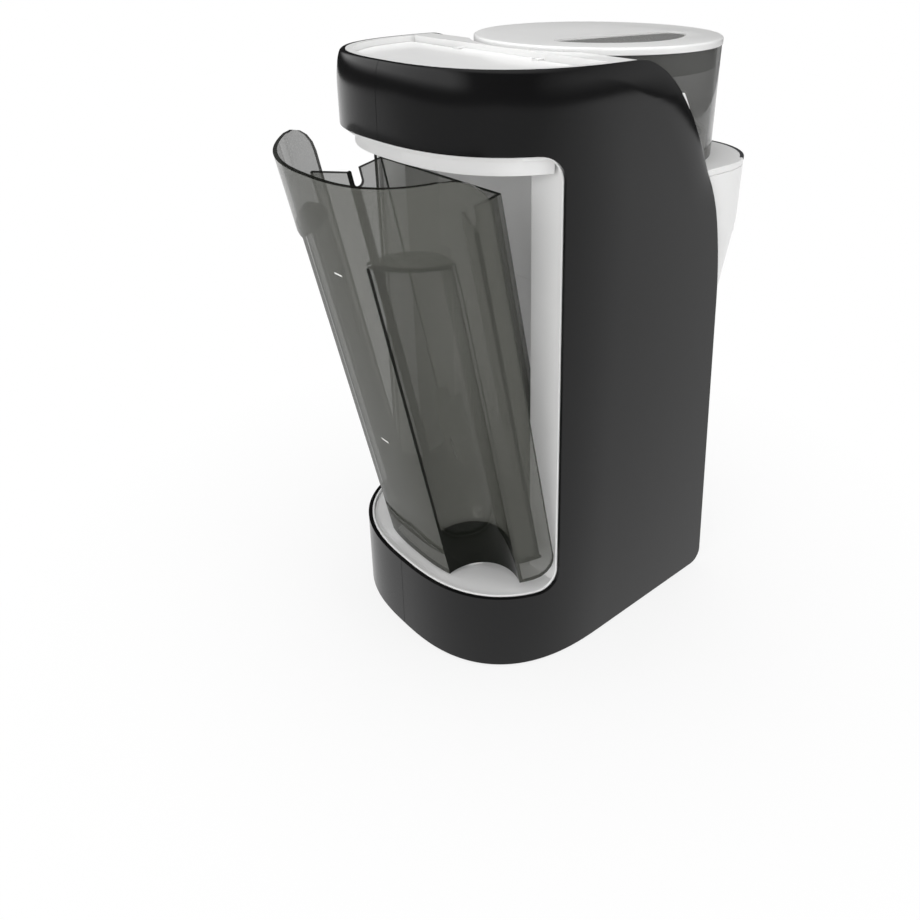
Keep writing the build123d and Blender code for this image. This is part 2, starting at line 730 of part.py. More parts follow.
# ================================================================ container well and deck
well_radius = container_radius + well_gap
with BuildPart() as container_well:
    box((-liner_half, container_y + 4, front_top_z + fit_gap), (liner_half, deck_front_y, band_z))
    rod(0, container_y, front_top_z + fit_gap, deck_bottom_z - fit_gap, well_radius + 1.8)
    extrude(side_profile(1.5, foot_height), amount=half_width, both=True, mode=Mode.INTERSECT)
    rod(0, container_y, front_top_z, deck_bottom_z, well_radius, mode=Mode.SUBTRACT)
    box((-half_width, container_y - 2 * container_radius, front_top_z), (half_width, container_y + 4, deck_bottom_z),
        mode=Mode.SUBTRACT)
save(container_well.part, "container_well")


def front_plan(inset, z, to_y):
    """Plan of the front housing: straight sides and two rounded front corners."""
    half = front_half - inset
    face_y = front_y + inset
    radius = front_corner - inset
    with BuildSketch(Plane.XY.offset(z), mode=Mode.PRIVATE) as outline:
        with BuildLine():
            Line((-half, to_y), (-half, face_y + radius))
            JernArc((-half, face_y + radius), (0, -1), radius, 90)
            Line((-half + radius, face_y), (half - radius, face_y))
            JernArc((half - radius, face_y), (1, 0), radius, 90)
            Polyline((half, face_y + radius), (half, to_y), (-half, to_y))
        make_face()
    return outline.sketch


outlet_y = container_y - outlet_reach
with BuildPart() as container_deck:
    extrude(front_plan(0, deck_low_z, front_wall_y), amount=front_deck_thickness)
    box((-liner_half, front_wall_y, deck_low_z), (liner_half, deck_front_y, front_top_z))
    rod(0, container_y, deck_low_z - 1, front_top_z + 1, shaft_radius + 2, mode=Mode.SUBTRACT)
    rod(0, outlet_y, deck_low_z - 1, front_top_z + 1, outlet_size / 2 + 2, mode=Mode.SUBTRACT)
save(container_deck.part, "container_deck")

with BuildPart() as shaft_bush:
    rod(0, container_y, deck_low_z, front_top_z, shaft_radius + 2)
    rod(0, container_y, deck_low_z, front_top_z, shaft_radius + running_gap, mode=Mode.SUBTRACT)
save(shaft_bush.part, "shaft_bush")

# ================================================================ powder container, lid and wheel
floor_inside_z = container_floor_z + container_wall
with BuildPart() as powder_container:
    rod(0, container_y, container_floor_z, container_top_z, container_radius)
    rod(0, container_y, floor_inside_z, container_top_z, container_radius - container_wall, mode=Mode.SUBTRACT)
    rod(0, container_y, container_floor_z - 1, floor_inside_z + 1, shaft_radius + 1, mode=Mode.SUBTRACT)
    rod(0, outlet_y, container_floor_z - 1, floor_inside_z + 1, outlet_size / 2, mode=Mode.SUBTRACT)
    fillet(powder_container.edges().filter_by(GeomType.CIRCLE).group_by(Axis.Z)[-1], 0.8)
save(powder_container.part, "powder_container")

lid_low = container_top_z + fit_gap
lid_high = lid_low + powder_lid_height
lid_plane = Plane(
    origin=(0, container_y, lid_low),
    x_dir=(cos(radians(window_turn)), sin(radians(window_turn)), 0),
    z_dir=(0, 0, 1),
)


def window_face(ease, plane):
    """Half-moon outline, eased in by a gap."""
    with BuildSketch(plane, mode=Mode.PRIVATE) as face:
        Circle(window_radius - window_corner - ease)
        with Locations((window_radius + window_chord + window_corner + ease, 0)):
            Rectangle(2 * window_radius, 2 * window_radius, mode=Mode.INTERSECT)
        offset(amount=window_corner)
    return face.sketch


with BuildPart() as powder_lid:
    rod(0, container_y, lid_low, lid_high, powder_lid_radius)
    fillet(powder_lid.edges().group_by(Axis.Z)[-1], 1.5)
    extrude(window_face(0, lid_plane), amount=powder_lid_height, mode=Mode.SUBTRACT)
    extrude(window_face(-3, lid_plane), amount=powder_lid_height / 2, mode=Mode.SUBTRACT)
save(powder_lid.part, "powder_lid")

with BuildPart() as lid_window:
    extrude(window_face(-2.8, lid_plane), amount=powder_lid_height / 2)
    extrude(window_face(0.2, lid_plane), amount=powder_lid_height - 0.6)
save(lid_window.part, "lid_window")

seal_outer = container_radius - container_wall - 0.35
with BuildPart() as lid_seal:
    rod(0, container_y, lid_low - lid_seal_height, lid_low, seal_outer)
    rod(0, container_y, lid_low - lid_seal_height, lid_low, seal_outer - 3, mode=Mode.SUBTRACT)
save(lid_seal.part, "lid_seal")

wheel_low_z = floor_inside_z + 0.4
wheel_high_z = wheel_low_z + wheel_height
arm_reach = container_radius - container_wall - 1.5
with BuildPart() as powder_wheel:
    rod(0, container_y, wheel_low_z, wheel_high_z + hub_rise, hub_radius)
    rod(0, container_y, wheel_low_z, wheel_high_z, arm_reach)
    rod(0, container_y, wheel_low_z, wheel_high_z, arm_reach - wheel_rib, mode=Mode.SUBTRACT)
    with BuildSketch(Plane.XY.offset(wheel_low_z)):
        with Locations((0, container_y)):
            Circle(hub_radius)
            with PolarLocations(0, wheel_arms):
                with Locations((arm_reach / 2, 0)):
                    Rectangle(arm_reach - 2, wheel_rib)
    extrude(amount=wheel_high_z - wheel_low_z)
    rod(0, container_y, wheel_low_z - 1, wheel_high_z + hub_rise / 2, shaft_radius + running_gap, mode=Mode.SUBTRACT)
    box((-shaft_radius, container_y + shaft_radius - 1, wheel_low_z),
        (shaft_radius, container_y + shaft_radius + 1, wheel_high_z + hub_rise / 2))
save(powder_wheel.part, "powder_wheel")

# ================================================================ drive
def gear_face(teeth, turn, x, y, z):
    """Straight-sided gear outline: teeth narrowed by the play, standing on the root circle."""
    pitch_radius = gear_module * teeth / 2
    root = pitch_radius - 1.25 * gear_module
    tip = pitch_radius + gear_module - gear_play
    half_pitch = pi * gear_module / 4 - gear_play / 2
    points = []
    for tooth in range(teeth):
        middle = radians(turn) + 2 * pi * tooth / teeth
        for radius, reach in ((root, -1.4), (tip, -0.55), (tip, 0.55), (root, 1.4)):
            angle = middle + reach * half_pitch / radius
            points.append((radius * cos(angle), radius * sin(angle)))
    with BuildSketch(Plane.XY.offset(z), mode=Mode.PRIVATE) as face:
        with BuildLine(Plane.XY):
            Polyline(*points, close=True)
        make_face()
    return Pos(x, y, 0) * face.sketch


with BuildPart() as drive_shaft:
    rod(0, container_y, gear_z - 3, wheel_high_z + hub_rise / 2 - fit_gap, shaft_radius)
    box((-shaft_radius, container_y + shaft_radius - 1.1, floor_inside_z),
        (shaft_radius, container_y + shaft_radius, wheel_high_z + hub_rise / 2), mode=Mode.SUBTRACT)
save(drive_shaft.part, "drive_shaft")

with BuildPart() as drive_gear:
    extrude(gear_face(gear_teeth, 90, 0, container_y, gear_z), amount=gear_thickness)
    rod(0, container_y, gear_z, gear_z + gear_thickness, shaft_radius, mode=Mode.SUBTRACT)
save(drive_gear.part, "drive_gear")

with BuildPart() as pinion:
    extrude(gear_face(pinion_teeth, 90 + 180 / pinion_teeth, 0, motor_y, gear_z), amount=gear_thickness)
    rod(0, motor_y, gear_z, gear_z + gear_thickness, 1.5, mode=Mode.SUBTRACT)
save(pinion.part, "motor_pinion")

bracket_z = gear_z - 3 - wall
with BuildPart() as motor:
    rod(0, motor_y, bracket_z - motor_height, bracket_z, motor_radius)
    fillet(motor.edges().group_by(Axis.Z)[0], 2)
    rod(0, motor_y, bracket_z - motor_height - 4, bracket_z - motor_height, 5)
save(motor.part, "motor")

with BuildPart() as motor_shaft:
    rod(0, motor_y, bracket_z, gear_z + gear_thickness, 1.5)
save(motor_shaft.part, "motor_shaft")

bracket_half = 40.0
bracket_reach = 20.0
post_radius = 4.0
with BuildPart() as motor_bracket:
    box((-bracket_half, container_y - bracket_reach, bracket_z),
        (bracket_half, motor_y + motor_radius + post_radius, bracket_z + wall))
    for x in (-bracket_half + post_radius, bracket_half - post_radius):
        for y in (container_y - bracket_reach + post_radius, motor_y + motor_radius):
            rod(x, y, bracket_z + wall, deck_low_z, post_radius)
    rod(0, container_y, bracket_z - 1, bracket_z + wall + 1, shaft_radius + running_gap, mode=Mode.SUBTRACT)
    rod(0, motor_y, bracket_z - 1, bracket_z + wall + 1, 4, mode=Mode.SUBTRACT)
save(motor_bracket.part, "motor_bracket")

# ================================================================ front housing and control panel
face_inner = front_y + wall
funnel_low_z = front_bottom_z + wall
funnel_window_half = funnel_front_half + fit_gap
with BuildPart() as front_housing:
    loft([front_plan(front_taper, front_bottom_z, front_wall_y), front_plan(0, front_upright_z, front_wall_y)],
         ruled=True)
    extrude(front_plan(0, front_upright_z, front_wall_y), amount=deck_low_z - front_upright_z)
    loft([front_plan(front_taper + wall, front_bottom_z, front_wall_y + wall),
          front_plan(wall, front_upright_z, front_wall_y + wall)], ruled=True, mode=Mode.SUBTRACT)
    extrude(front_plan(wall, front_upright_z, front_wall_y + wall), amount=deck_low_z - front_upright_z,
            mode=Mode.SUBTRACT)
    extrude(front_plan(front_taper, front_bottom_z, front_wall_y), amount=wall)
    box((-funnel_window_half, front_y - 1, front_bottom_z - 1),
        (funnel_window_half, face_inner + front_taper + 1, front_upright_z), mode=Mode.SUBTRACT)
    slot_half = funnel_spout + 4
    box((-slot_half, front_y - 1, front_bottom_z - 1), (slot_half, funnel_y, funnel_low_z + 0.5), mode=Mode.SUBTRACT)
    rod(0, funnel_y, front_bottom_z - 1, funnel_low_z + 0.5, slot_half, mode=Mode.SUBTRACT)
    box((-panel_half - fit_gap, front_y - 1, panel_bottom_z - fit_gap),
        (panel_half + fit_gap, face_inner + 1, panel_top_z + fit_gap), mode=Mode.SUBTRACT)
save(front_housing.part, "front_housing")

button_names = ("power", "temperature", "start", "amount", "formula")
button_places = [(button_pitch * (step - 2), button_z) for step in range(len(button_names))]


def front_disc(x, z, near_y, far_y, radius, mode=Mode.ADD):
    """A cylinder along Y between two depths."""
    with BuildSketch(Plane.XZ.offset(-far_y), mode=Mode.PRIVATE) as disc:
        with Locations((x, z)):
            Circle(radius)
    extrude(disc.sketch, amount=far_y - near_y, mode=mode)


with BuildPart() as control_panel:
    box((-panel_half, front_y, panel_bottom_z), (panel_half, face_inner, panel_top_z))
    box((-display_half - fit_gap, front_y - 1, display_low_z - fit_gap),
        (display_half + fit_gap, face_inner + 1, display_high_z + fit_gap), mode=Mode.SUBTRACT)
    for x, z in button_places:
        front_disc(x, z, front_y - 1, face_inner + 1, button_radius + button_gap, mode=Mode.SUBTRACT)
save(control_panel.part, "control_panel")

with BuildPart() as display_window:
    box((-display_half, front_y, display_low_z), (display_half, face_inner, display_high_z))
save(display_window.part, "display_window")

board_y = front_y + board_gap
for (x, z), purpose in zip(button_places, button_names):
    with BuildPart() as button:
        front_disc(x, z, front_y - button_proud, face_inner, button_radius)
        front_disc(x, z, face_inner, face_inner + 1, button_radius + 1)
        front_disc(x, z, face_inner + 1, board_y - button_travel - switch_height - stem_gap, stem_radius)
    save(button.part, f"button_{purpose}")

with BuildPart() as display_board:
    box((-panel_half + 3, board_y, panel_bottom_z + 1), (panel_half - 3, board_y + board_thickness, panel_top_z))
    for x, z in button_places:
        front_disc(x, z, board_y - switch_height, board_y, 2.5)
    box((-display_half + 1, face_inner + fit_gap, display_low_z + 1), (display_half - 1, board_y, display_high_z - 1))
save(display_board.part, "display_board")

# ================================================================ mixing funnel, its rails and the spout
rim_radius = funnel_mouth + 4
rail_thickness = 3.0
rail_low_z = funnel_rim_z - 2 - 0.2 - rail_thickness
lean = front_taper / (front_upright_z - front_bottom_z)
with BuildPart() as mixing_funnel:
    with BuildSketch(Plane.XZ.offset(-funnel_y)):
        with BuildLine():
            Polyline(
                (0, funnel_tip_z),
                (funnel_spout, funnel_tip_z),
                (funnel_spout + 1, funnel_cone_z),
                (funnel_mouth + funnel_wall, funnel_rim_z - 2),
                (rim_radius, funnel_rim_z - 2),
                (rim_radius, funnel_rim_z),
                (0, funnel_rim_z),
                close=True,
            )
        make_face()
    revolve(axis=Axis((0, funnel_y, 0), (0, 0, 1)))
    with BuildSketch(Plane.XZ.offset(-funnel_y)):
        with BuildLine():
            Polyline(
                (0, funnel_tip_z),
                (funnel_spout - funnel_wall, funnel_tip_z),
                (funnel_spout + 1 - funnel_wall, funnel_cone_z + 1),
                (funnel_mouth, funnel_rim_z - 1),
                (funnel_mouth, funnel_rim_z),
                (0, funnel_rim_z),
                close=True,
            )
        make_face()
    revolve(axis=Axis((0, funnel_y, 0), (0, 0, 1)), mode=Mode.SUBTRACT)
    with BuildSketch(Plane.YZ):
        with BuildLine():
            top_z = front_upright_z - fit_gap
            Polyline(
                (front_y, top_z),
                (front_y + lean * (top_z - front_bottom_z), front_bottom_z),
                (front_y + lean * (top_z - front_bottom_z) + wall, front_bottom_z),
                (front_y + wall, top_z),
                close=True,
            )
        make_face()
    extrude(amount=funnel_front_half, both=True)
    box((-4, front_y + wall - 0.5, funnel_cone_z + 2), (4, funnel_y - funnel_spout - 6, funnel_rim_z - 4))
save(mixing_funnel.part, "mixing_funnel")

rail_inset = wall + 2 * fit_gap + lean * (front_upright_z - rail_low_z)
with BuildPart() as funnel_rails:
    for side in (-1, 1):
        low_x, high_x = sorted((side * (rim_radius - 1.5), side * front_half))
        box((low_x, funnel_y - 20, rail_low_z), (high_x, front_wall_y + 1.5, rail_low_z + rail_thickness))
    extrude(front_plan(rail_inset, rail_low_z, front_wall_y + wall), amount=rail_thickness, mode=Mode.INTERSECT)
save(funnel_rails.part, "funnel_rails")

spout_y = container_y - spout_setback
spout_low_z = funnel_rim_z + spout_gap
spout_pipe_z = funnel_rim_z + spout_rise
with BuildPart() as water_spout:
    rod(0, spout_y, spout_low_z, bracket_z, spout_stem_radius)
    rod(0, spout_y, spout_low_z, spout_pipe_z + pipe_radius + 1, spout_radius)
    with BuildSketch(Plane.YZ.offset(-spout_reach)):
        with Locations((spout_y, spout_pipe_z)):
            Circle(pipe_radius)
    extrude(amount=spout_reach)
    rod(0, spout_y, spout_low_z - 1, spout_pipe_z, spout_bore_radius, mode=Mode.SUBTRACT)
save(water_spout.part, "water_spout")

# ================================================================ bottle bay
wall_back_y = front_wall_y + wall
rail_front_y = front_wall_y - stand_rail_depth
rail_lip_y = rail_front_y + stand_rail_lip
rail_foot_z = tray_top_z + 2
with BuildPart() as front_wall:
    box((-liner_half, front_wall_y, pan_top_z), (liner_half, wall_back_y, front_bottom_z - fit_gap))
    for side in (-1, 1):
        low_x, high_x = sorted((side * stand_rail_x, side * (stand_rail_x + stand_rail_web)))
        box((low_x, rail_lip_y, rail_foot_z), (high_x, front_wall_y, rail_foot_z + stand_rail_height))
        low_x, high_x = sorted((side * (stand_rail_x - stand_rail_web), side * (stand_rail_x + stand_rail_web)))
        box((low_x, rail_front_y, rail_foot_z), (high_x, rail_lip_y, rail_foot_z + stand_rail_height))
save(front_wall.part, "front_wall")

with BuildPart() as front_base:
    box((-liner_half, front_foot_y + toe_radius, foot_height), (liner_half, front_wall_y - fit_gap, tray_top_z))
    rod(0, tray_y, foot_height, tray_top_z, tray_radius)
    box((-liner_half, tray_y - tray_radius - 1, foot_height - 1), (liner_half, front_wall_y, pan_top_z + fit_gap),
        mode=Mode.SUBTRACT)
    rod(0, tray_y, tray_floor_z - wall, tray_top_z + 1, tray_radius - wall, mode=Mode.SUBTRACT)
    for side in (-1, 1):
        low_x, high_x = sorted((side * hollow_x, side * (liner_half - wall)))
        box((low_x, front_foot_y + toe_radius + wall, foot_height - 1),
            (high_x, front_wall_y - wall, tray_top_z - wall), mode=Mode.SUBTRACT)
    rod(0, tray_y, tray_floor_z - wall, tray_floor_z, tray_radius - 1)
    box((-tray_radius - fit_gap, tray_y - tray_radius - 1, tray_floor_z),
        (tray_radius + fit_gap, tray_y, tray_top_z + 1), mode=Mode.SUBTRACT)
    box((-liner_half, front_wall_y - fit_gap, foot_height), (liner_half, 0, tray_top_z + 1), mode=Mode.SUBTRACT)
save(front_base.part, "front_base")

cup_radius = tray_radius - wall - 0.4
cup_inner = cup_radius - 2
tray_low_z = tray_floor_z + fit_gap
tray_back_y = front_wall_y - 2 * fit_gap - wall
grille_seat_z = tray_top_z - 1
with BuildPart() as drip_tray:
    with BuildSketch(Plane.XY.offset(tray_low_z)):
        with Locations((0, tray_y)):
            Circle(tray_radius)
        with Locations((0, tray_y + tray_radius)):
            Rectangle(2 * tray_radius, 2 * tray_radius, mode=Mode.SUBTRACT)
        with Locations((0, tray_y)):
            Circle(cup_radius)
        with Locations((0, tray_back_y + tray_radius)):
            Rectangle(2 * tray_radius, 2 * tray_radius, mode=Mode.SUBTRACT)
    extrude(amount=tray_top_z - tray_low_z)
    rod(0, tray_y, grille_seat_z, tray_top_z + 1, cup_radius + fit_gap, mode=Mode.SUBTRACT)
    with BuildSketch(Plane.XY.offset(tray_low_z + 2)):
        with Locations((0, tray_y)):
            Circle(cup_inner)
        with Locations((0, tray_back_y - 2 + tray_radius)):
            Rectangle(2 * tray_radius, 2 * tray_radius, mode=Mode.SUBTRACT)
    extrude(amount=tray_top_z - tray_low_z, mode=Mode.SUBTRACT)
save(drip_tray.part, "drip_tray")

with BuildPart() as drip_grille:
    rod(0, tray_y, grille_seat_z, tray_top_z + 1, cup_radius)
    with BuildSketch(Plane.XY.offset(grille_seat_z)):
        with Locations((0, tray_y - 6)):
            with GridLocations(slot_pitch, slot_length + slot_width, slots_across, 3):
                SlotOverall(slot_length, slot_width, rotation=90)
    extrude(amount=3, mode=Mode.SUBTRACT)
    box((-tray_radius, tray_back_y, grille_seat_z), (tray_radius, 0, tray_top_z + 1), mode=Mode.SUBTRACT)
save(drip_grille.part, "drip_grille")

stand_y = funnel_y
stand_top_z = stand_z + stand_thickness
shoe_front_y = rail_front_y - fit_gap
shoe_neck = stand_rail_x - stand_rail_web - fit_gap
with BuildPart() as bottle_stand:
    rod(0, stand_y, stand_z, stand_top_z, stand_radius)
    rod(0, stand_y, stand_top_z - stand_sink, stand_top_z + 1, stand_radius - 3, mode=Mode.SUBTRACT)
    box((-stand_radius, shoe_front_y - stand_thickness, stand_z), (stand_radius, 0, stand_top_z), mode=Mode.SUBTRACT)
    box((-shoe_neck, stand_y + stand_radius - 10, stand_z), (shoe_neck, shoe_front_y, stand_top_z))
    box((-shoe_neck, shoe_front_y - stand_thickness, stand_z), (shoe_neck, shoe_front_y, stand_z + stand_shoe_height))
    box((-shoe_neck, shoe_front_y, stand_z), (shoe_neck, rail_lip_y + fit_gap, stand_z + stand_shoe_height))
    box((-stand_rail_x + fit_gap, rail_lip_y + fit_gap, stand_z),
        (stand_rail_x - fit_gap, front_wall_y - fit_gap, stand_z + stand_shoe_height))
save(bottle_stand.part, "bottle_stand")

# ================================================================ pump, heater, boards and inlet
pump_x = pump_inset - half_width
pump_top_z = pump_z + pump_radius + pipe_length
pump_back_y = pump_y + pump_length / 2 + pipe_length
with BuildPart() as pump:
    front_disc(pump_x, pump_z, pump_y - pump_length / 2, pump_y + pump_length / 2, pump_radius)
    box((pump_x - pump_radius + 2, pump_y - pump_length / 2 + 5, pan_top_z),
        (pump_x + pump_radius - 2, pump_y + pump_length / 2 - 5, pump_z - pump_radius / 2 - 1))
    front_disc(pump_x, pump_z, pump_y, pump_back_y, pipe_radius)
    rod(pump_x, pump_y, pump_z, pump_top_z, pipe_radius)
save(pump.part, "pump")

heater_high_z = front_bottom_z - heater_headroom
heater_front_y = heater_y - heater_radius
with BuildPart() as heater:
    rod(pump_x, heater_y, heater_low_z, heater_high_z, heater_radius)
    fillet(heater.edges().filter_by(GeomType.CIRCLE), 3)
    rod(pump_x, pump_y, heater_low_z - pipe_length, heater_low_z + 4, pipe_radius)
    rod(pump_x, heater_y, heater_high_z - 4, heater_high_z + pipe_length, pipe_radius)
    for bracket_low_z in (heater_low_z + bracket_place, heater_high_z - bracket_place - bracket_height):
        box((pump_x - bracket_height / 2, wall_back_y, bracket_low_z),
            (pump_x + bracket_height / 2, heater_front_y + 3, bracket_low_z + bracket_height))
save(heater.part, "heater")


def hose(name, radius, bend, *points):
    """A hose: straight runs joined by arcs, with a round section swept along them."""
    with BuildPart() as body:
        with BuildLine() as path:
            if len(points) > 2:
                FilletPolyline(*points, radius=bend)
            else:
                Line(*points)
        with BuildSketch(Plane(origin=path.line @ 0, z_dir=path.line % 0)):
            Circle(radius)
        sweep(path=path.line)
    save(body.part, name)


hose("inlet_hose", barb_radius, 7, (valve_x, valve_y, barb_z), (valve_x, valve_y, pump_z - 8),
     (pump_x, valve_y - 23, pump_z), (pump_x, pump_back_y, pump_z))
hose("pressure_hose", hose_radius, 6, (pump_x, pump_y, pump_top_z), (pump_x, pump_y, heater_low_z - pipe_length))
hose("spout_hose", hose_radius, 12, (pump_x, heater_y, heater_high_z + pipe_length), (pump_x, heater_y, spout_pipe_z),
     (pump_x, spout_y, spout_pipe_z), (-spout_reach, spout_y, spout_pipe_z))

main_board_y = wall_back_y + standoff_height
parts_y = main_board_y + board_thickness
main_board_end_x = half_width - main_board_inset
with BuildPart() as main_board:
    box((main_board_x, main_board_y, heater_low_z), (main_board_end_x, parts_y, heater_high_z))
    for x in (main_board_x + 2 * standoff_radius, main_board_end_x - 2 * standoff_radius):
        for z in (heater_low_z + standoff_place, heater_high_z - standoff_place):
            front_disc(x, z, wall_back_y, main_board_y, standoff_radius)
    for width, depth, height, from_x, from_z in board_parts:
        box((main_board_x + from_x, parts_y, heater_low_z + from_z),
            (main_board_x + from_x + width, parts_y + depth, heater_low_z + from_z + height))
save(main_board.part, "main_board")

inlet_inner_x = half_width - wall - fit_gap
with BuildPart() as power_inlet:
    box((half_width - inlet_depth, inlet_y - inlet_width / 2, inlet_z - inlet_height / 2),
        (half_width, inlet_y + inlet_width / 2, inlet_z + inlet_height / 2))
    box((inlet_inner_x - 2, inlet_y - inlet_width / 2 - inlet_flange, inlet_z - inlet_height / 2 - inlet_flange),
        (inlet_inner_x, inlet_y + inlet_width / 2 + inlet_flange, inlet_z + inlet_height / 2 + inlet_flange))
    with BuildSketch(Plane.YZ.offset(half_width - inlet_socket_depth)):
        with Locations((inlet_y, inlet_z)):
            SlotOverall(inlet_width - 6, inlet_height - 6.5)
    extrude(amount=inlet_socket_depth + 1, mode=Mode.SUBTRACT)
    with BuildSketch(Plane.YZ.offset(half_width - inlet_socket_depth - 1)):
        with Locations((inlet_y - inlet_pin_place, inlet_z), (inlet_y + inlet_pin_place, inlet_z)):
            Circle(inlet_pin_radius)
    extrude(amount=inlet_socket_depth - 3)
save(power_inlet.part, "power_inlet")
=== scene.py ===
"""Baby formula maker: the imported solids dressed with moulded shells, clear plastic and their finishes."""

import json
import logging
import math
from collections.abc import Callable, Sequence
from dataclasses import dataclass, field
from enum import Enum
from functools import lru_cache

import bmesh
import bpy
import numpy as np
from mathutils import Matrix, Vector

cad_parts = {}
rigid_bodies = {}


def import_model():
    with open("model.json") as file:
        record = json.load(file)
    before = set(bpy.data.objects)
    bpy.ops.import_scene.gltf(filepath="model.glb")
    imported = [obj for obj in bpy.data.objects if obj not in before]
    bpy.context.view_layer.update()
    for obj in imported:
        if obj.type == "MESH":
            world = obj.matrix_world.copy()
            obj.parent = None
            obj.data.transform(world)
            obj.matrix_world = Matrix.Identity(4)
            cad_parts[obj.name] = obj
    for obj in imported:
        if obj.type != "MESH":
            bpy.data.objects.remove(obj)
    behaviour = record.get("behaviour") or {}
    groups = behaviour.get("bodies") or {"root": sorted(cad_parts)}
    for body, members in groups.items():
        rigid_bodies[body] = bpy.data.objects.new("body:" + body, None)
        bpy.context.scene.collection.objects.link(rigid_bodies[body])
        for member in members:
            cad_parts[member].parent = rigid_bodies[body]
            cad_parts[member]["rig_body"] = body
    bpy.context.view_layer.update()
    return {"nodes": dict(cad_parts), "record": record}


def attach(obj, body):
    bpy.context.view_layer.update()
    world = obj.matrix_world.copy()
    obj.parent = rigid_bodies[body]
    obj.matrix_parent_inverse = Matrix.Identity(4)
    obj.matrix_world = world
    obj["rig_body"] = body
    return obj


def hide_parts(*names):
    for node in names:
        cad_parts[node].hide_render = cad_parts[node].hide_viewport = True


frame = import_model()

MM = 0.001
EDGE_TURN = 35.0        # a moulded edge that turns by more degrees than this is rounded
WALL_TURN = 40.0        # the same on a wall whose columns turn a little at each step
ROUND_STEPS = 2         # steps across a rounded edge
HOLE_STEPS = 24         # points of the half circle of a hole in a plate
MERGE = 1e-6            # points of a new mesh that are nearer than this, in metres, become one
PLAN_STEPS = 900        # points of the rounded back from which lengths along a plan are read
LOG = logging.getLogger("formula_maker")

Color = tuple[float, float, float]


# ---------------------------------------------------------------- shader maths
def operation(name: str, swapped: bool = False) -> Callable[["Value", "Value | float"], "Value"]:
    """A method that puts a value and another operand through one operation of the Math node.

    Args:
        name: The operation.
        swapped: Whether the other operand comes first.

    Returns:
        The method.
    """
    def method(self: "Value", other: "Value | float") -> "Value":
        """Apply the operation."""
        return self.graph.math(name, other, self) if swapped else self.graph.math(name, self, other)

    return method


@dataclass
class Value:
    """A number socket of a material that takes part in plain arithmetic."""

    graph: "Graph"
    socket: bpy.types.NodeSocket

    __add__ = __radd__ = operation("ADD")
    __sub__, __rsub__ = operation("SUBTRACT"), operation("SUBTRACT", swapped=True)
    __mul__ = __rmul__ = operation("MULTIPLY")
    __pow__ = operation("POWER")
    at_least = operation("MAXIMUM")

    def step(self, low: float, high: float) -> "Value":
        """Zero below low, one above high and straight between."""
        return self.graph.node("ShaderNodeMapRange", {"clamp": True},
                               {"Value": self, "From Min": low, "From Max": high})


class Graph:
    """The node tree of a material or of the world."""

    def __init__(self, name: str, world: bool = False) -> None:
        """Start an empty tree.

        Args:
            name: The material's or world's name.
            world: Whether the tree belongs to a world.
        """
        self.owner = (bpy.data.worlds if world else bpy.data.materials).new(name)
        self.owner.use_nodes = True
        self.tree = self.owner.node_tree
        self.tree.nodes.clear()
        self.end = "ShaderNodeOutputWorld" if world else "ShaderNodeOutputMaterial"

    def node(self, kind: str, settings: dict | None = None, inputs: dict | None = None,
             output: int | str = 0) -> Value:
        """Add one node.

        Args:
            kind: The node's type.
            settings: Properties of the node, set first.
            inputs: Values or links of its sockets, by name or number.
            output: The socket to return.

        Returns:
            The chosen output.
        """
        made = self.tree.nodes.new(kind)
        for key, setting in (settings or {}).items():
            setattr(made, key, setting)
        for key, given in (inputs or {}).items():
            if isinstance(given, Value):
                self.tree.links.new(given.socket, made.inputs[key])
            else:
                made.inputs[key].default_value = given
        return Value(self, made.outputs[output])

    def math(self, operation: str, first: Value | float, second: Value | float) -> Value:
        """A Math node on two values."""
        return self.node("ShaderNodeMath", {"operation": operation}, {0: first, 1: second})

    def place(self) -> Value:
        """Object coordinates, in metres."""
        return self.node("ShaderNodeTexCoord", output="Object")

    def part(self, name: str) -> Value:
        """One of the object coordinates: X, Y or Z."""
        return self.node("ShaderNodeSeparateXYZ", inputs={"Vector": self.place()}, output=name)

    def noise(self, size_mm: float, detail: float = 2.0, stretch: Color = (1.0, 1.0, 1.0)) -> Value:
        """Noise from 0 to 1 whose grains measure about size_mm, drawn out by stretch along each axis."""
        spread = self.node("ShaderNodeVectorMath", {"operation": "MULTIPLY"},
                           {0: self.place(), 1: tuple(1.0 / s for s in stretch)})
        return self.node("ShaderNodeTexNoise", inputs={"Vector": spread, "Scale": 1.0 / (size_mm * MM),
                                                       "Detail": detail})

    def blend(self, share: Value | float, low: Color, high: Color) -> Value:
        """A colour between two."""
        return self.node("ShaderNodeMix", {"data_type": "RGBA"},
                         {0: share, 6: (*low, 1.0), 7: (*high, 1.0)}, output=2)

    def bump(self, height: Value, depth_mm: float) -> Value:
        """A normal from a height of 0 to 1 that stands for depth_mm."""
        return self.node("ShaderNodeBump", inputs={"Height": height, "Distance": depth_mm * MM,
                                                   "Strength": 1.0})

    def rays(self, *kinds: str) -> Value:
        """One where any of these kinds of ray arrives, such as "Is Camera Ray"."""
        found = [self.node("ShaderNodeLightPath", output=kind) for kind in kinds]
        seen = found[0]
        for other in found[1:]:
            seen = seen.at_least(other)
        return seen

    def surface(self, inputs: dict) -> bpy.types.Material:
        """Finish with a Principled shader that takes these sockets."""
        return self.finish(self.node("ShaderNodeBsdfPrincipled", inputs=inputs))

    def finish(self, shader: Value) -> bpy.types.Material | bpy.types.World:
        """Send a shader to the output and return what the tree belongs to."""
        out = self.tree.nodes.new(self.end)
        self.tree.links.new(shader.socket, out.inputs["Surface"])
        return self.owner


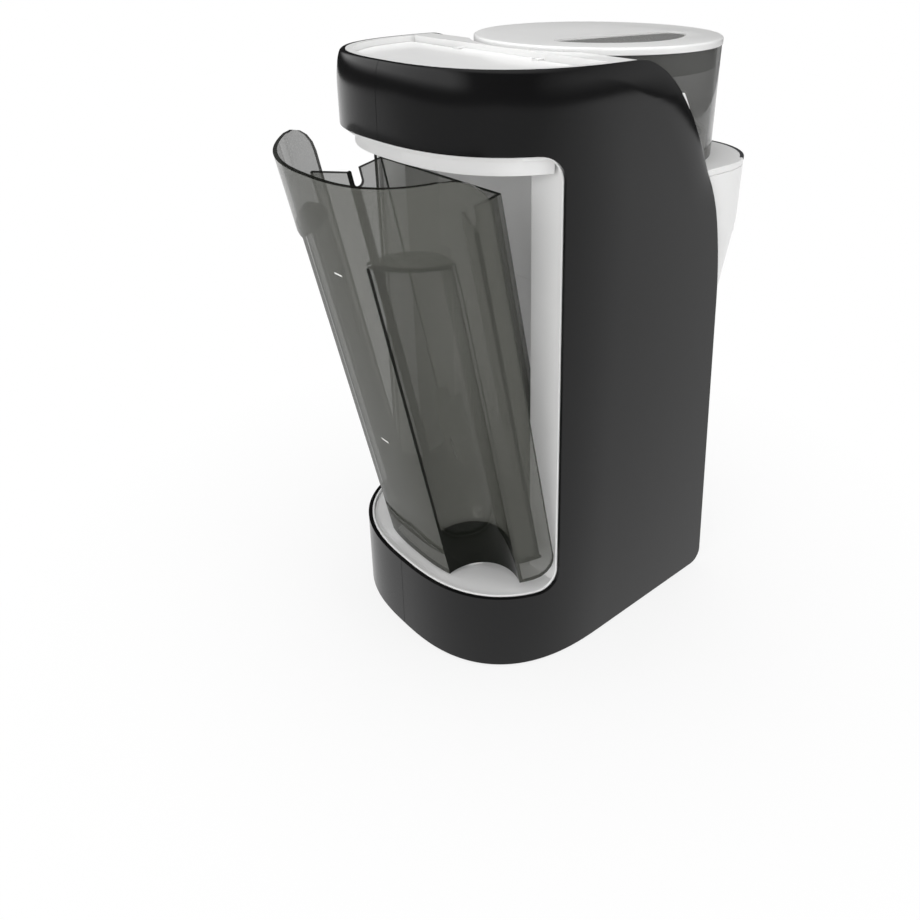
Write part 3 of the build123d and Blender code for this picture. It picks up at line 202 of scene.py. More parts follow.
# ---------------------------------------------------------------- finishes
class Grain(Enum):
    """Ways in which a surface is worked: share of the grain's size, detail and stretch of its noise."""

    SMOOTH = (4.0, 2.0, (1.0, 1.0, 1.0))
    SPARK = (1.0, 5.0, (1.0, 1.0, 1.0))
    BRUSHED = (1.0, 2.0, (60.0, 1.0, 1.0))
    TURNED = (1.0, 2.0, (8.0, 8.0, 1.0))


@dataclass(frozen=True)
class Plastic:
    """Moulded plastic or metal: a colour and a gloss that vary a little, and a skin texture.

    The colour varies by the share tone in clouds of cloud_mm, the gloss by smear in patches of smear_mm, and
    the skin's grains measure grain_mm and stand for depth_mm.
    """

    name: str
    color: Color
    roughness: float
    grain: Grain = Grain.SMOOTH
    grain_mm: float = 0.6
    depth_mm: float = 0.01
    tone: float = 0.04
    smear: float = 0.05
    coat: float = 0.0
    metallic: float = 0.0
    sheen_level: float = 0.5
    cloud_mm: float = 38.0
    smear_mm: float = 14.0
    coat_roughness: float = 0.08

    @lru_cache
    def material(self) -> bpy.types.Material:
        """Build the material once.

        Returns:
            The material, its cloudy tone and gloss taken from noise in object coordinates.
        """
        graph = Graph(self.name)
        cloud = graph.noise(self.cloud_mm, 3.0)
        low = tuple(c * (1.0 - self.tone) for c in self.color)
        high = tuple(min(c * (1.0 + self.tone), 1.0) for c in self.color)
        gloss = self.roughness + self.smear * (graph.noise(self.smear_mm, 4.0) - 0.5)
        share, detail, stretch = self.grain.value
        height = graph.noise(self.grain_mm * share, detail, stretch)
        return graph.surface({
            "Base Color": graph.blend(cloud, low, high), "Roughness": gloss, "Metallic": self.metallic,
            "Coat Weight": self.coat, "Coat Roughness": self.coat_roughness,
            "Specular IOR Level": self.sheen_level, "Normal": graph.bump(height, self.depth_mm),
        })


@dataclass(frozen=True)
class ClearPlastic:
    """Smoky clear plastic: see-through face on, denser and darker where the wall is seen edge on.

    With t for how far the surface turns away, its cover is cover + (edge_cover - cover) * t ** cover_power,
    and its colour goes from color to dark by t ** tint_power plus a faint flow.
    """

    name: str
    color: Color
    dark: Color
    cover: float
    edge_cover: float
    roughness: float = 0.06
    let_through: float = 0.65
    sheen_level: float = 0.5
    facing: float = 0.35
    cover_power: float = 2.5
    tint_power: float = 2.0
    flow: float = 0.12
    flow_mm: float = 60.0
    smear: float = 0.03
    smear_mm: float = 9.0

    @lru_cache
    def material(self) -> bpy.types.Material:
        """Build the material once.

        Returns:
            The material, which also lets through a share of the light that would cast its shadow.
        """
        graph = Graph(self.name)
        turned = graph.node("ShaderNodeLayerWeight", inputs={"Blend": self.facing}, output="Facing")
        flow = graph.noise(self.flow_mm, 1.0)
        cover = self.cover + (self.edge_cover - self.cover) * turned ** self.cover_power
        cover = cover * (1.0 - self.let_through * graph.rays("Is Shadow Ray"))
        gloss = self.roughness + self.smear * graph.noise(self.smear_mm, 3.0)
        return graph.surface({
            "Base Color": graph.blend(turned ** self.tint_power + self.flow * flow, self.color, self.dark),
            "Roughness": gloss, "Specular IOR Level": self.sheen_level, "Alpha": cover,
        })


# Name, colour, roughness, grain with its size and depth in mm, tone, smear, coat and metallic.
CASING_BLACK = Plastic("casing_black", (0.0055, 0.0055, 0.0057), 0.16, Grain.SMOOTH, 0.5, 0.002, 0.10, 0.03,
                       sheen_level=0.33)
SHELL_WHITE = Plastic("shell_white", (0.83, 0.83, 0.825), 0.30, Grain.SMOOTH, 0.6, 0.006, 0.012, 0.06, 0.2)
LINER_WHITE = Plastic("liner_white", (0.80, 0.80, 0.795), 0.48, Grain.SPARK, 0.35, 0.012, 0.012, 0.06)
DECK_GREY = Plastic("deck_grey", (0.055, 0.056, 0.06), 0.42, Grain.SPARK, 0.4, 0.02, 0.08, 0.06)
RUBBER_DARK = Plastic("rubber_dark", (0.022, 0.022, 0.023), 0.75, Grain.SPARK, 0.5, 0.04, 0.15, 0.08)
STEEL = Plastic("steel", (0.62, 0.62, 0.63), 0.24, Grain.BRUSHED, 0.12, 0.004, 0.04, 0.06, 0.0, 1.0)
TURNED_STEEL = Plastic("turned_steel", (0.60, 0.60, 0.61), 0.22, Grain.TURNED, 0.15, 0.004, 0.04, 0.06,
                       0.0, 1.0)
BRASS = Plastic("brass", (0.72, 0.52, 0.22), 0.26, Grain.TURNED, 0.15, 0.004, 0.06, 0.06, 0.0, 1.0)
GEAR_WHITE = Plastic("gear_white", (0.76, 0.76, 0.72), 0.42, Grain.SPARK, 0.4, 0.008, 0.02, 0.06)
MOTOR_METAL = Plastic("motor_metal", (0.30, 0.30, 0.31), 0.38, Grain.BRUSHED, 0.2, 0.006, 0.10, 0.08, 0.0, 0.9)
PANEL_DARK = Plastic("panel_dark", (0.018, 0.018, 0.02), 0.16, Grain.SMOOTH, 0.5, 0.003, 0.08, 0.04, 0.5)
DISPLAY_GLASS = Plastic("display_glass", (0.006, 0.008, 0.010), 0.07, Grain.SMOOTH, 0.5, 0.001, 0.05, 0.02,
                        0.8)
BUTTON_GREY = Plastic("button_grey", (0.46, 0.47, 0.48), 0.34, Grain.SPARK, 0.3, 0.006, 0.03, 0.06)
BOARD_GREEN = Plastic("board_green", (0.025, 0.12, 0.05), 0.35, Grain.SMOOTH, 0.5, 0.01, 0.15, 0.08)
HOSE_CLEAR = Plastic("hose_clear", (0.70, 0.70, 0.67), 0.30, Grain.SMOOTH, 0.8, 0.02, 0.04, 0.06)
INLET_BLACK = Plastic("inlet_black", (0.02, 0.02, 0.02), 0.48, Grain.SPARK, 0.4, 0.01, 0.08, 0.05)
PRINT_WHITE = Plastic("print_white", (0.80, 0.80, 0.78), 0.5, Grain.SMOOTH, 0.4, 0.002)
# Name, colour, dark colour, cover and edge cover.
TANK_SMOKE = ClearPlastic("tank_smoke", (0.112, 0.114, 0.100), (0.030, 0.031, 0.025), 0.44, 0.90,
                          sheen_level=0.3)
# Near-black edge finish: painted shade along the tank's rims and edges, on the grips' ceilings and feet and on
# the bottom plate.
TANK_EDGE_SHADE = ClearPlastic("tank_edge_shade", (0.008, 0.009, 0.007), (0.004, 0.004, 0.003), 0.93, 0.99,
                         sheen_level=0.08)
CONTAINER_SMOKE = ClearPlastic("container_smoke", (0.120, 0.121, 0.115), (0.060, 0.061, 0.057), 0.52, 0.86)
WINDOW_SMOKE = ClearPlastic("window_smoke", (0.40, 0.402, 0.395), (0.33, 0.332, 0.325), 0.86, 0.95)

Finish = Plastic | ClearPlastic
Rounded = dict[str, tuple[Finish, float]]       # each node's finish and the width of its rounded edges
Painted = dict[str, Finish]


# ---------------------------------------------------------------- meshes
def placed(name: str, data: bpy.types.ID) -> bpy.types.Object:
    """A new object at the origin that holds a mesh, a lamp or a camera."""
    holder = bpy.data.objects.new(name, data)
    bpy.context.scene.collection.objects.link(holder)
    return holder


def rounding(radius: float, count: int) -> np.ndarray:
    """Rises of a quarter circle from its foot: radius * (1 - cos a), with a from 0 to a right angle."""
    return radius * (1.0 - np.cos(np.radians(np.linspace(0.0, 90.0, count))))


def at_height(plan: np.ndarray, z: float) -> np.ndarray:
    """Points (x, y) of a plan at one height."""
    return np.column_stack([plan, np.full(len(plan), z)])


def both_sides(right: np.ndarray) -> np.ndarray:
    """A right half that starts on the centre line, after its mirror image: from the left end to the right."""
    mirror = np.ones(right.shape[1])
    mirror[0] = -1.0
    return np.concatenate([right[:0:-1] * mirror, right])


def twin_faces(count: int) -> list[list[int]]:
    """Two faces of count points each, the second one turned round, such as the ends of a prism."""
    return [list(range(count)), list(range(2 * count - 1, count - 1, -1))]


def grid_faces(rows: int, columns: int, keep: np.ndarray | None = None, ring: bool = False) -> np.ndarray:
    """Quads of a grid whose point (i, j) has the number i * columns + j.

    Args:
        rows: Points along the first parameter.
        columns: Points along the second.
        keep: Which of the cells stay, if not all.
        ring: Whether the last column joins the first.

    Returns:
        One row of four point numbers for each quad.
    """
    cells = columns if ring else columns - 1
    i, j = np.meshgrid(np.arange(rows - 1), np.arange(cells), indexing="ij")
    after = (j + 1) % columns
    quads = np.stack([i * columns + j, i * columns + after, (i + 1) * columns + after, (i + 1) * columns + j],
                     -1)
    return quads[keep] if keep is not None else quads.reshape(-1, 4)


def new_mesh(name: str, points: np.ndarray, faces: np.ndarray | list,
             indices: np.ndarray | list | None = None) -> bpy.types.Object:
    """Put points in millimetres and faces into a new object at the origin, with its seams closed.

    Args:
        name: The piece's name.
        points: One row of x, y, z for each point.
        faces: The point numbers of each face.
        indices: The material index of each face, if not all 0.

    Returns:
        The piece, with its doubles merged and its faces turned alike.
    """
    mesh = bpy.data.meshes.new(name)
    mesh.from_pydata((np.asarray(points) * MM).tolist(), [], [list(f) for f in faces])
    if indices is not None:
        mesh.polygons.foreach_set("material_index", np.asarray(indices, dtype=np.int32).ravel())
    piece = placed(name, mesh)
    work = bmesh.new()
    work.from_mesh(mesh)
    loose = [v for v in work.verts if not v.link_faces]
    bmesh.ops.delete(work, geom=loose, context="VERTS")
    bmesh.ops.remove_doubles(work, verts=work.verts, dist=MERGE)
    bmesh.ops.recalc_face_normals(work, faces=work.faces)
    work.to_mesh(mesh)
    work.free()
    return piece


def soften(piece: bpy.types.Object, bevel_mm: float, angle: float = EDGE_TURN, edge_index: int = -1,
           clamp: bool = True) -> None:
    """Round a piece's edges and shade it smooth.

    Args:
        piece: The piece.
        bevel_mm: Width of the rounding.
        angle: Edges that turn by more than this are rounded.
        edge_index: Index of the material that the rounding takes, or -1 for its neighbours'.
        clamp: Whether the shortest edge limits the width.
    """
    piece.data.shade_smooth()
    if bevel_mm > 0.0:
        bevel = piece.modifiers.new("rounded_edges", "BEVEL")
        bevel.width = bevel_mm * MM
        bevel.segments = ROUND_STEPS
        bevel.limit_method = "ANGLE"
        bevel.angle_limit = math.radians(angle)
        bevel.harden_normals = True
        bevel.miter_outer = "MITER_SHARP"
        bevel.use_clamp_overlap = clamp
        bevel.material = edge_index
    piece.data.set_sharp_from_angle(angle=math.radians(angle))


def face_out(piece: bpy.types.Object, middle: tuple[float, float] = (0.0, 0.0)) -> None:
    """Turn a sheet's faces away from an upright line.

    Args:
        piece: The sheet.
        middle: Where the line stands in plan, in millimetres.
    """
    mesh = piece.data
    normals = np.empty(len(mesh.polygons) * 3)
    centers = np.empty(len(mesh.polygons) * 3)
    mesh.polygons.foreach_get("normal", normals)
    mesh.polygons.foreach_get("center", centers)
    away = (centers.reshape(-1, 3) - np.array([*middle, 0.0]) * MM) * (1, 1, 0)
    if (normals.reshape(-1, 3) * away).sum() < 0:
        mesh.flip_normals()


def thicken(piece: bpy.types.Object, wall_mm: float, offset: float = -1.0, rim_index: int = 0) -> None:
    """Give an open sheet a wall.

    Args:
        piece: The sheet.
        wall_mm: The wall's thickness.
        offset: -1 for a wall behind the faces and 1 for one in front of them.
        rim_index: How much later the material of its rims comes.
    """
    solid = piece.modifiers.new("wall", "SOLIDIFY")
    solid.thickness = wall_mm * MM
    solid.offset = offset
    solid.use_even_offset = False
    solid.material_offset_rim = rim_index


def raise_sheet(piece: bpy.types.Object, thickness: float) -> None:
    """Give a level sheet its thickness upwards, whichever way its faces look."""
    thicken(piece, thickness, 1.0 if piece.data.polygons[0].normal.z > 0 else -1.0)


def lathe(name: str, profile: Sequence[tuple[float, float]], center: tuple[float, float],
          columns: int = 128) -> bpy.types.Object:
    """A solid of revolution about an upright axis.

    Args:
        name: The piece's name.
        profile: Points (radius, height) of the closed section, in order.
        center: Where the axis stands.
        columns: Points round the axis.

    Returns:
        The piece: point (i, j) is profile point i turned by 2 pi j / columns.
    """
    section = np.array([*profile, profile[0]])
    turn = np.linspace(0.0, 2 * np.pi, columns, endpoint=False)
    x = center[0] + section[:, :1] * np.cos(turn)
    y = center[1] + section[:, :1] * np.sin(turn)
    z = np.broadcast_to(section[:, 1:], x.shape)
    return new_mesh(name, np.stack([x, y, z], -1).reshape(-1, 3), grid_faces(len(section), columns, ring=True))


def twin_plate(name: str, right: np.ndarray, low_z: float, thickness: float) -> bpy.types.Object:
    """A flat plate that is the same left and right, each half one face.

    Args:
        name: The piece's name.
        right: The outline (x, y) of its right half.
        low_z: Height of its underside.
        thickness: Its thickness.

    Returns:
        The plate.
    """
    points = at_height(np.concatenate([right, right * (-1, 1)]), low_z)
    piece = new_mesh(name, points, twin_faces(len(right)))
    raise_sheet(piece, thickness)
    return piece


def bored_plate(name: str, rim: np.ndarray, holes: Sequence[tuple[float, float]], low_z: float,
                thickness: float) -> bpy.types.Object:
    """A flat plate that is the same left and right, with round holes on its centre line.

    Each half is one face: the rim's points from the front to the rear, then forward along the centre line
    and round the half circle (radius * cos a, y + radius * sin a) of each hole.

    Args:
        name: The piece's name.
        rim: Points (x, y) of the right half's rim, from the front centre to the rear centre.
        holes: Depth y and radius of each hole, the rear one first.
        low_z: Height of its underside.
        thickness: Its thickness.

    Returns:
        The plate.
    """
    turn = np.linspace(np.pi / 2, -np.pi / 2, HOLE_STEPS)
    bites = [np.column_stack([radius * np.cos(turn), y + radius * np.sin(turn)]) for y, radius in holes]
    return twin_plate(name, np.concatenate([rim, *bites]), low_z, thickness)


def dress(piece: bpy.types.Object, finish: Finish, body: str, slot: str, *nodes: str,
          edges: Finish | None = None) -> bpy.types.Object:
    """Give a finished piece its materials and its body, and hide the nodes that it replaces.

    Args:
        piece: The piece.
        finish: What it is made of.
        body: The body that it rides on.
        slot: The record's material slot that it belongs to; not used.
        nodes: The nodes that it replaces.
        edges: A second finish, for the faces with material index 1.

    Returns:
        The piece.
    """
    if piece.data.materials:
        piece.data.materials.clear()
    piece.data.materials.append(finish.material())
    if edges is not None:
        piece.data.materials.append(edges.material())
    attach(piece, body)
    if nodes:
        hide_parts(*nodes)
    LOG.info("%s: %d faces on %s", piece.name, len(piece.data.polygons), body)
    return piece


def bake(piece: bpy.types.Object) -> None:
    """Apply a piece's modifiers to its mesh."""
    solid = bpy.data.meshes.new_from_object(piece.evaluated_get(bpy.context.evaluated_depsgraph_get()))
    piece.modifiers.clear()
    piece.data = solid


def settle(piece: bpy.types.Object) -> None:
    """Apply a dressed piece's modifiers and mark the edges that turn by more than WALL_TURN."""
    bake(piece)
    piece.data.shade_smooth()
    piece.data.set_sharp_from_angle(angle=math.radians(WALL_TURN))


def carve(piece: bpy.types.Object, tool: bpy.types.Object) -> None:
    """Cut a closed shape out of a piece.

    Args:
        piece: The piece.
        tool: The shape, which is removed afterwards.
    """
    cut = piece.modifiers.new("cut", "BOOLEAN")
    cut.operation = "DIFFERENCE"
    cut.solver = "EXACT"
    cut.object = tool
    bake(piece)
    bpy.data.objects.remove(tool)


def prism(name: str, profile: np.ndarray, half: float) -> bpy.types.Object:
    """A closed side profile carried straight across from x = -half to x = half.

    Args:
        name: The piece's name.
        profile: Points (y, z) of the profile, in order.
        half: Half of its width.

    Returns:
        The piece, its two ends one face each.
    """
    count = len(profile)
    points = np.concatenate([np.column_stack([np.full(count, x), profile]) for x in (-half, half)])
    after = (np.arange(count) + 1) % count
    sides = np.column_stack([np.arange(count), after, after + count, np.arange(count) + count]).tolist()
    return new_mesh(name, points, [*sides, *twin_faces(count)])


def refine(node: str, finish: Finish, bevel_mm: float) -> bpy.types.Object:
    """Stand a copy of a node in its place, with doubles merged, flat faces joined and edges rounded.

    Args:
        node: The node to copy and replace.
        finish: What it is made of.
        bevel_mm: Width of the rounded edges.

    Returns:
        The new piece.
    """
    mesh = frame["nodes"][node].data.copy()
    mesh.name = f"{node}_moulded"
    piece = placed(mesh.name, mesh)
    work = bmesh.new()
    work.from_mesh(mesh)
    bmesh.ops.remove_doubles(work, verts=work.verts, dist=2 * MERGE)
    bmesh.ops.dissolve_limit(work, angle_limit=math.radians(1.0), verts=work.verts, edges=work.edges)
    work.to_mesh(mesh)
    work.free()
    soften(piece, bevel_mm)
    return dress(piece, finish, frame["nodes"][node]["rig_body"], NODE_SLOTS[node], node)


def paint(node: str, finish: Finish) -> None:
    """Give a node that keeps its own mesh a better material."""
    for place in frame["nodes"][node].material_slots:
        place.material = finish.material()


NODE_SLOTS = {s["node"]: s["material_slot"] for s in frame["record"]["subparts"]}


# ---------------------------------------------------------------- plan of the nose
@dataclass(frozen=True)
class NosePlan:
    """Plan of one side of the machine, from the rear centre line forward.

    The rounded back is the superellipse |x / half| ** power + |y / depth| ** power = 1, and the side runs
    straight on from it.
    """

    half: float
    depth: float
    power: float = 2.6
    front_y: float = -115.0

    @lru_cache
    def outline(self) -> tuple[np.ndarray, np.ndarray]:
        """Points (x, y) of the plan, and the length along them from the rear centre line."""
        turn = np.linspace(0.0, np.pi / 2, PLAN_STEPS)
        x = self.half * np.sin(turn) ** (2 / self.power)
        y = self.depth * np.cos(turn) ** (2 / self.power)
        points = np.stack([np.append(x, x[-1]), np.append(np.append(y[:-1], 0.0), self.front_y)], -1)
        return points, np.append(0.0, np.cumsum(np.hypot(*np.diff(points, axis=0).T)))

    def at(self, lengths: np.ndarray) -> np.ndarray:
        """Points of the plan at lengths from the rear centre line."""
        points, along = self.outline()
        return np.stack([np.interp(lengths, along, points[:, k]) for k in (0, 1)], -1)

    def length_at(self, y: float | np.ndarray) -> float | np.ndarray:
        """Length along the plan to a depth y."""
        points, along = self.outline()
        return np.interp(-np.asarray(y), -points[:, 1], along)

    def moved_in(self, lengths: np.ndarray, insets: np.ndarray) -> np.ndarray:
        """Points of the plan, each moved in along its normal.

        Args:
            lengths: Lengths from the rear centre line.
            insets: How far each point comes in.

        Returns:
            One row of x, y for each length.
        """
        points, along = self.outline()
        ahead = np.gradient(points, along + np.arange(len(along)) * 1e-9, axis=0)
        ahead /= np.maximum(np.linalg.norm(ahead, axis=1), 1e-9)[:, None]
        inward = np.column_stack([np.interp(lengths, along, ahead[:, 1]),
                                  -np.interp(lengths, along, ahead[:, 0])])
        inward /= np.linalg.norm(inward, axis=1)[:, None]
        return self.at(lengths) + inward * np.asarray(insets)[:, None]


# ---------------------------------------------------------------- casing
@dataclass
class Casing:
    """The two black side casings: base, column and head in one sweep, parted on the rear centre line."""

    half_width: float = 90.0
    nose_length: float = 97.0
    nose_power: float = 2.6
    wall: float = 2.5
    seam: float = 0.15
    low_z: float = 1.5
    foot_y: float = -109.0
    toe: float = 10.0
    waist: tuple[float, float] = (-91.0, 216.0)
    brow: tuple[tuple[float, float], ...] = ((-79.5, 277.0), (-52.0, 335.0), (-3.5, 368.0))
    rim_z: float = 55.0
    head_z: float = 328.0
    band_z: float = 348.0
    top_z: float = 368.0
    band_inset: float = 4.0
    lip: float = 1.2
    edge_low_y: float = 38.5
    edge_high_y: float = 44.5
    corner: float = 14.0
    brow_band: float = 22.0
    brow_low_z: float = 262.0
    brow_full_z: float = 304.0
    rear_columns: int = 44
    side_columns: int = 84
    base_rows: int = 7
    corner_rows: int = 9
    column_rows: int = 34
    head_rows: int = 5
    crown_rows: int = 25
    curve_points: int = 600
    front_crowding: float = 1.5
    edge_round: float = 0.5
    rim_gap: float = 0.3
    rim_rows: int = 30
    rim_columns: int = 40
    rim_section: tuple[tuple[float, float], ...] = ((-0.7, 0.0), (-0.7, 1.4), (2.2, 1.4), (2.2, 0.0))
    rim_round: float = 0.35

    @property
    def plan(self) -> NosePlan:
        """The casing's outer plan."""
        return NosePlan(self.half_width, self.nose_length, self.nose_power)

    def front_edge(self) -> tuple[np.ndarray, np.ndarray]:
        """Side view of the front edge: a leaning line, then a clamped cubic through the brow to the top.

        Returns:
            Heights and the depths y at them, both as arrays that rise with height.
        """
        knots = np.array([self.waist, *self.brow])
        chord = np.hypot(*np.diff(knots, axis=0).T)
        place = np.append(0.0, np.cumsum(chord))
        start = np.array([self.waist[0] - self.foot_y, self.waist[1] - self.low_z])
        start /= np.hypot(*start)
        end = np.array([1.0, 0.0])
        system = np.zeros((4, 4))
        right = np.zeros((4, 2))
        system[0, 0] = system[3, 3] = 1.0
        right[0], right[3] = start, end
        for k in (1, 2):
            before, after = chord[k - 1], chord[k]
            system[k, k - 1:k + 2] = after, 2 * (before + after), before
            right[k] = 3 * (after * (knots[k] - knots[k - 1]) / before
                            + before * (knots[k + 1] - knots[k]) / after)
        slope = np.linalg.solve(system, right)
        t = np.linspace(0.0, place[-1], self.curve_points)
        k = np.clip(np.searchsorted(place, t, "right") - 1, 0, 2)
        u = ((t - place[k]) / chord[k])[:, None]
        step = chord[k][:, None]
        curve = ((1 + 2 * u) * (1 - u) ** 2 * knots[k] + u * (1 - u) ** 2 * step * slope[k]
                 + u ** 2 * (3 - 2 * u) * knots[k + 1] + u ** 2 * (u - 1) * step * slope[k + 1])
        heights = np.maximum.accumulate(np.append(self.low_z, curve[:, 1]))
        return heights, np.append(self.foot_y, curve[:, 0])

    def edge_y(self, z: np.ndarray) -> np.ndarray:
        """Front edge of the tank opening: a straight line, rounded back at its two corners.

        Within corner of an end, with d left to it, the line goes back by corner - sqrt(corner ** 2 - d ** 2).

        Args:
            z: Heights.

        Returns:
            The depth y at each height.
        """
        share = (z - self.rim_z) / (self.head_z - self.rim_z)
        straight = self.edge_low_y + (self.edge_high_y - self.edge_low_y) * np.clip(share, 0.0, 1.0)
        near = np.minimum(np.clip(z - self.rim_z, 0.0, None), np.clip(self.head_z - z, 0.0, None))
        inside = np.clip(self.corner - near, 0.0, self.corner)
        return straight + self.corner - np.sqrt(self.corner ** 2 - inside ** 2)

    def corner_heights(self) -> tuple[np.ndarray, np.ndarray]:
        """Heights round the opening's low corners and round its high ones."""
        rise = rounding(self.corner, self.corner_rows)
        return self.rim_z + rise, (self.head_z - rise)[::-1]

    def rows(self) -> tuple[np.ndarray, np.ndarray]:
        """Heights of the grid's rows and the extra inset of the lip, which only the last one has."""
        low_corner, high_corner = self.corner_heights()
        rise = np.radians(np.linspace(0.0, 90.0, self.crown_rows))
        heights = np.concatenate([
            self.low_z + rounding(self.toe, self.corner_rows),
            np.linspace(self.low_z + self.toe, self.rim_z, self.base_rows)[1:-1],
            low_corner,
            np.linspace(low_corner[-1], high_corner[0], self.column_rows)[1:-1],
            high_corner,
            np.linspace(self.head_z, self.band_z, self.head_rows)[1:-1],
            self.band_z + (self.top_z - self.band_z) * np.sin(rise),
            [self.top_z],
        ])
        lips = np.zeros(len(heights))
        lips[-1] = self.lip
        return heights, lips

    def insets(self, z: float, to_front: np.ndarray) -> np.ndarray:
        """How far the surface comes in at a height, rounded over towards the top and the brow's front edge.

        With a and b the shares of the two bands that are left behind, from the top and from the front edge,
        and t = 1 - (1 - a) * (1 - b), the inset is band_inset * (1 - sqrt(1 - t ** 2)).

        Args:
            z: The row's height.
            to_front: Distances to the front edge.

        Returns:
            One inset for each distance.
        """
        top = 1.0 - np.clip((self.top_z - z) / (self.top_z - self.band_z), 0.0, 1.0)
        fade = np.clip((z - self.brow_low_z) / (self.brow_full_z - self.brow_low_z), 0.0, 1.0)
        front = (1.0 - np.clip(to_front / self.brow_band, 0.0, 1.0)) * fade ** 2 * (3 - 2 * fade)
        share = 1.0 - (1.0 - top) * (1.0 - front)
        return self.band_inset * (1.0 - np.sqrt(1.0 - share ** 2))

    def build(self, side: int, node: str) -> bpy.types.Object:
        """Build one half: a grid of lengths round the plan by heights, without the cells of the opening.

        Args:
            side: 1 for the +X half and -1 for the -X half.
            node: The node that it replaces.

        Returns:
            The shell with its wall and rounded edges.
        """
        heights, lips = self.rows()
        front_z, front_y = self.front_edge()
        fronts = np.interp(heights, front_z, front_y)
        leans = np.hypot(1.0, np.gradient(fronts, heights + np.arange(len(heights)) * 1e-6))
        near_toe = np.clip(self.toe - (heights - self.low_z), 0.0, self.toe)
        fronts = fronts + self.toe - np.sqrt(self.toe ** 2 - near_toe ** 2)
        edges = self.edge_y(heights)
        layers = []
        spread = 1.0 - (1.0 - np.linspace(0.0, 1.0, self.side_columns)) ** self.front_crowding
        for z, lip, edge, front, lean in zip(heights, lips, edges, fronts, leans):
            s_edge, s_front = self.plan.length_at(np.array([edge, front]))
            lengths = np.concatenate([np.linspace(self.seam, s_edge, self.rear_columns)[:-1],
                                      s_edge + (s_front - s_edge) * spread])
            flat = self.plan.moved_in(lengths, self.insets(z, (s_front - lengths) / lean) + lip)
            layers.append(at_height(flat * (side, 1), z))
        columns = self.rear_columns - 1 + self.side_columns
        keep = np.ones((len(heights) - 1, columns - 1), dtype=bool)
        middle = (heights[:-1] + heights[1:]) / 2
        in_opening = (middle > self.rim_z) & (middle < self.head_z)
        keep[np.ix_(in_opening, np.arange(columns - 1) < self.rear_columns - 1)] = False
        piece = new_mesh(f"{node}_shell", np.concatenate(layers), grid_faces(len(heights), columns, keep))
        face_out(piece)
        thicken(piece, self.wall)
        soften(piece, self.edge_round, WALL_TURN)
        return dress(piece, CASING_BLACK, "housing", "casing_black", node)

    def rim(self) -> bpy.types.Object:
        """The white rim just inside the opening: a small section carried round the opening's edge.

        The path runs in (length, height) of the unrolled casing from the rear centre line along the base,
        round the corner, up the edge, and back along the head; the section's two directions are away from
        the opening and in from the casing's face.

        Returns:
            The rim as one closed ring.
        """
        low_corner, high_corner = self.corner_heights()
        heights = np.concatenate([low_corner, np.linspace(low_corner[-1], high_corner[0], self.rim_rows)[1:-1],
                                  high_corner])
        inset = self.wall + self.rim_gap
        upright = np.column_stack([self.plan.length_at(self.edge_y(heights)), heights])
        run = np.linspace(0.0, 1.0, self.rim_columns)[:-1, None]
        low = run * (upright[0] - (0.0, self.rim_z)) + (0.0, self.rim_z)
        high = (run * (upright[-1] - (0.0, self.head_z)) + (0.0, self.head_z))[::-1]
        path = np.concatenate([low, upright, high])
        ahead = np.gradient(path, axis=0)
        ahead /= np.linalg.norm(ahead, axis=1)[:, None]
        away = np.column_stack([ahead[:, 1], -ahead[:, 0]])
        loops = []
        for out, deep in self.rim_section:
            spot = path + away * out
            flat = self.plan.moved_in(np.maximum(spot[:, 0], 0.0), np.full(len(spot), inset + deep))
            flat[[0, -1], 0] = 0.0
            loops.append(np.column_stack([flat, spot[:, 1]]))
        right = np.stack(loops, 1)
        ring = np.concatenate([right, right[::-1] * (-1, 1, 1)])
        faces = grid_faces(len(ring), len(self.rim_section), ring=True)
        piece = new_mesh("opening_rim", ring.reshape(-1, 3), faces)
        soften(piece, self.rim_round, WALL_TURN)
        return dress(piece, SHELL_WHITE, "housing", "shell_white")

    def make(self) -> None:
        """Build both halves and the rim."""
        self.build(-1, "side_casing_left")
        self.build(1, "side_casing_right")
        self.rim()


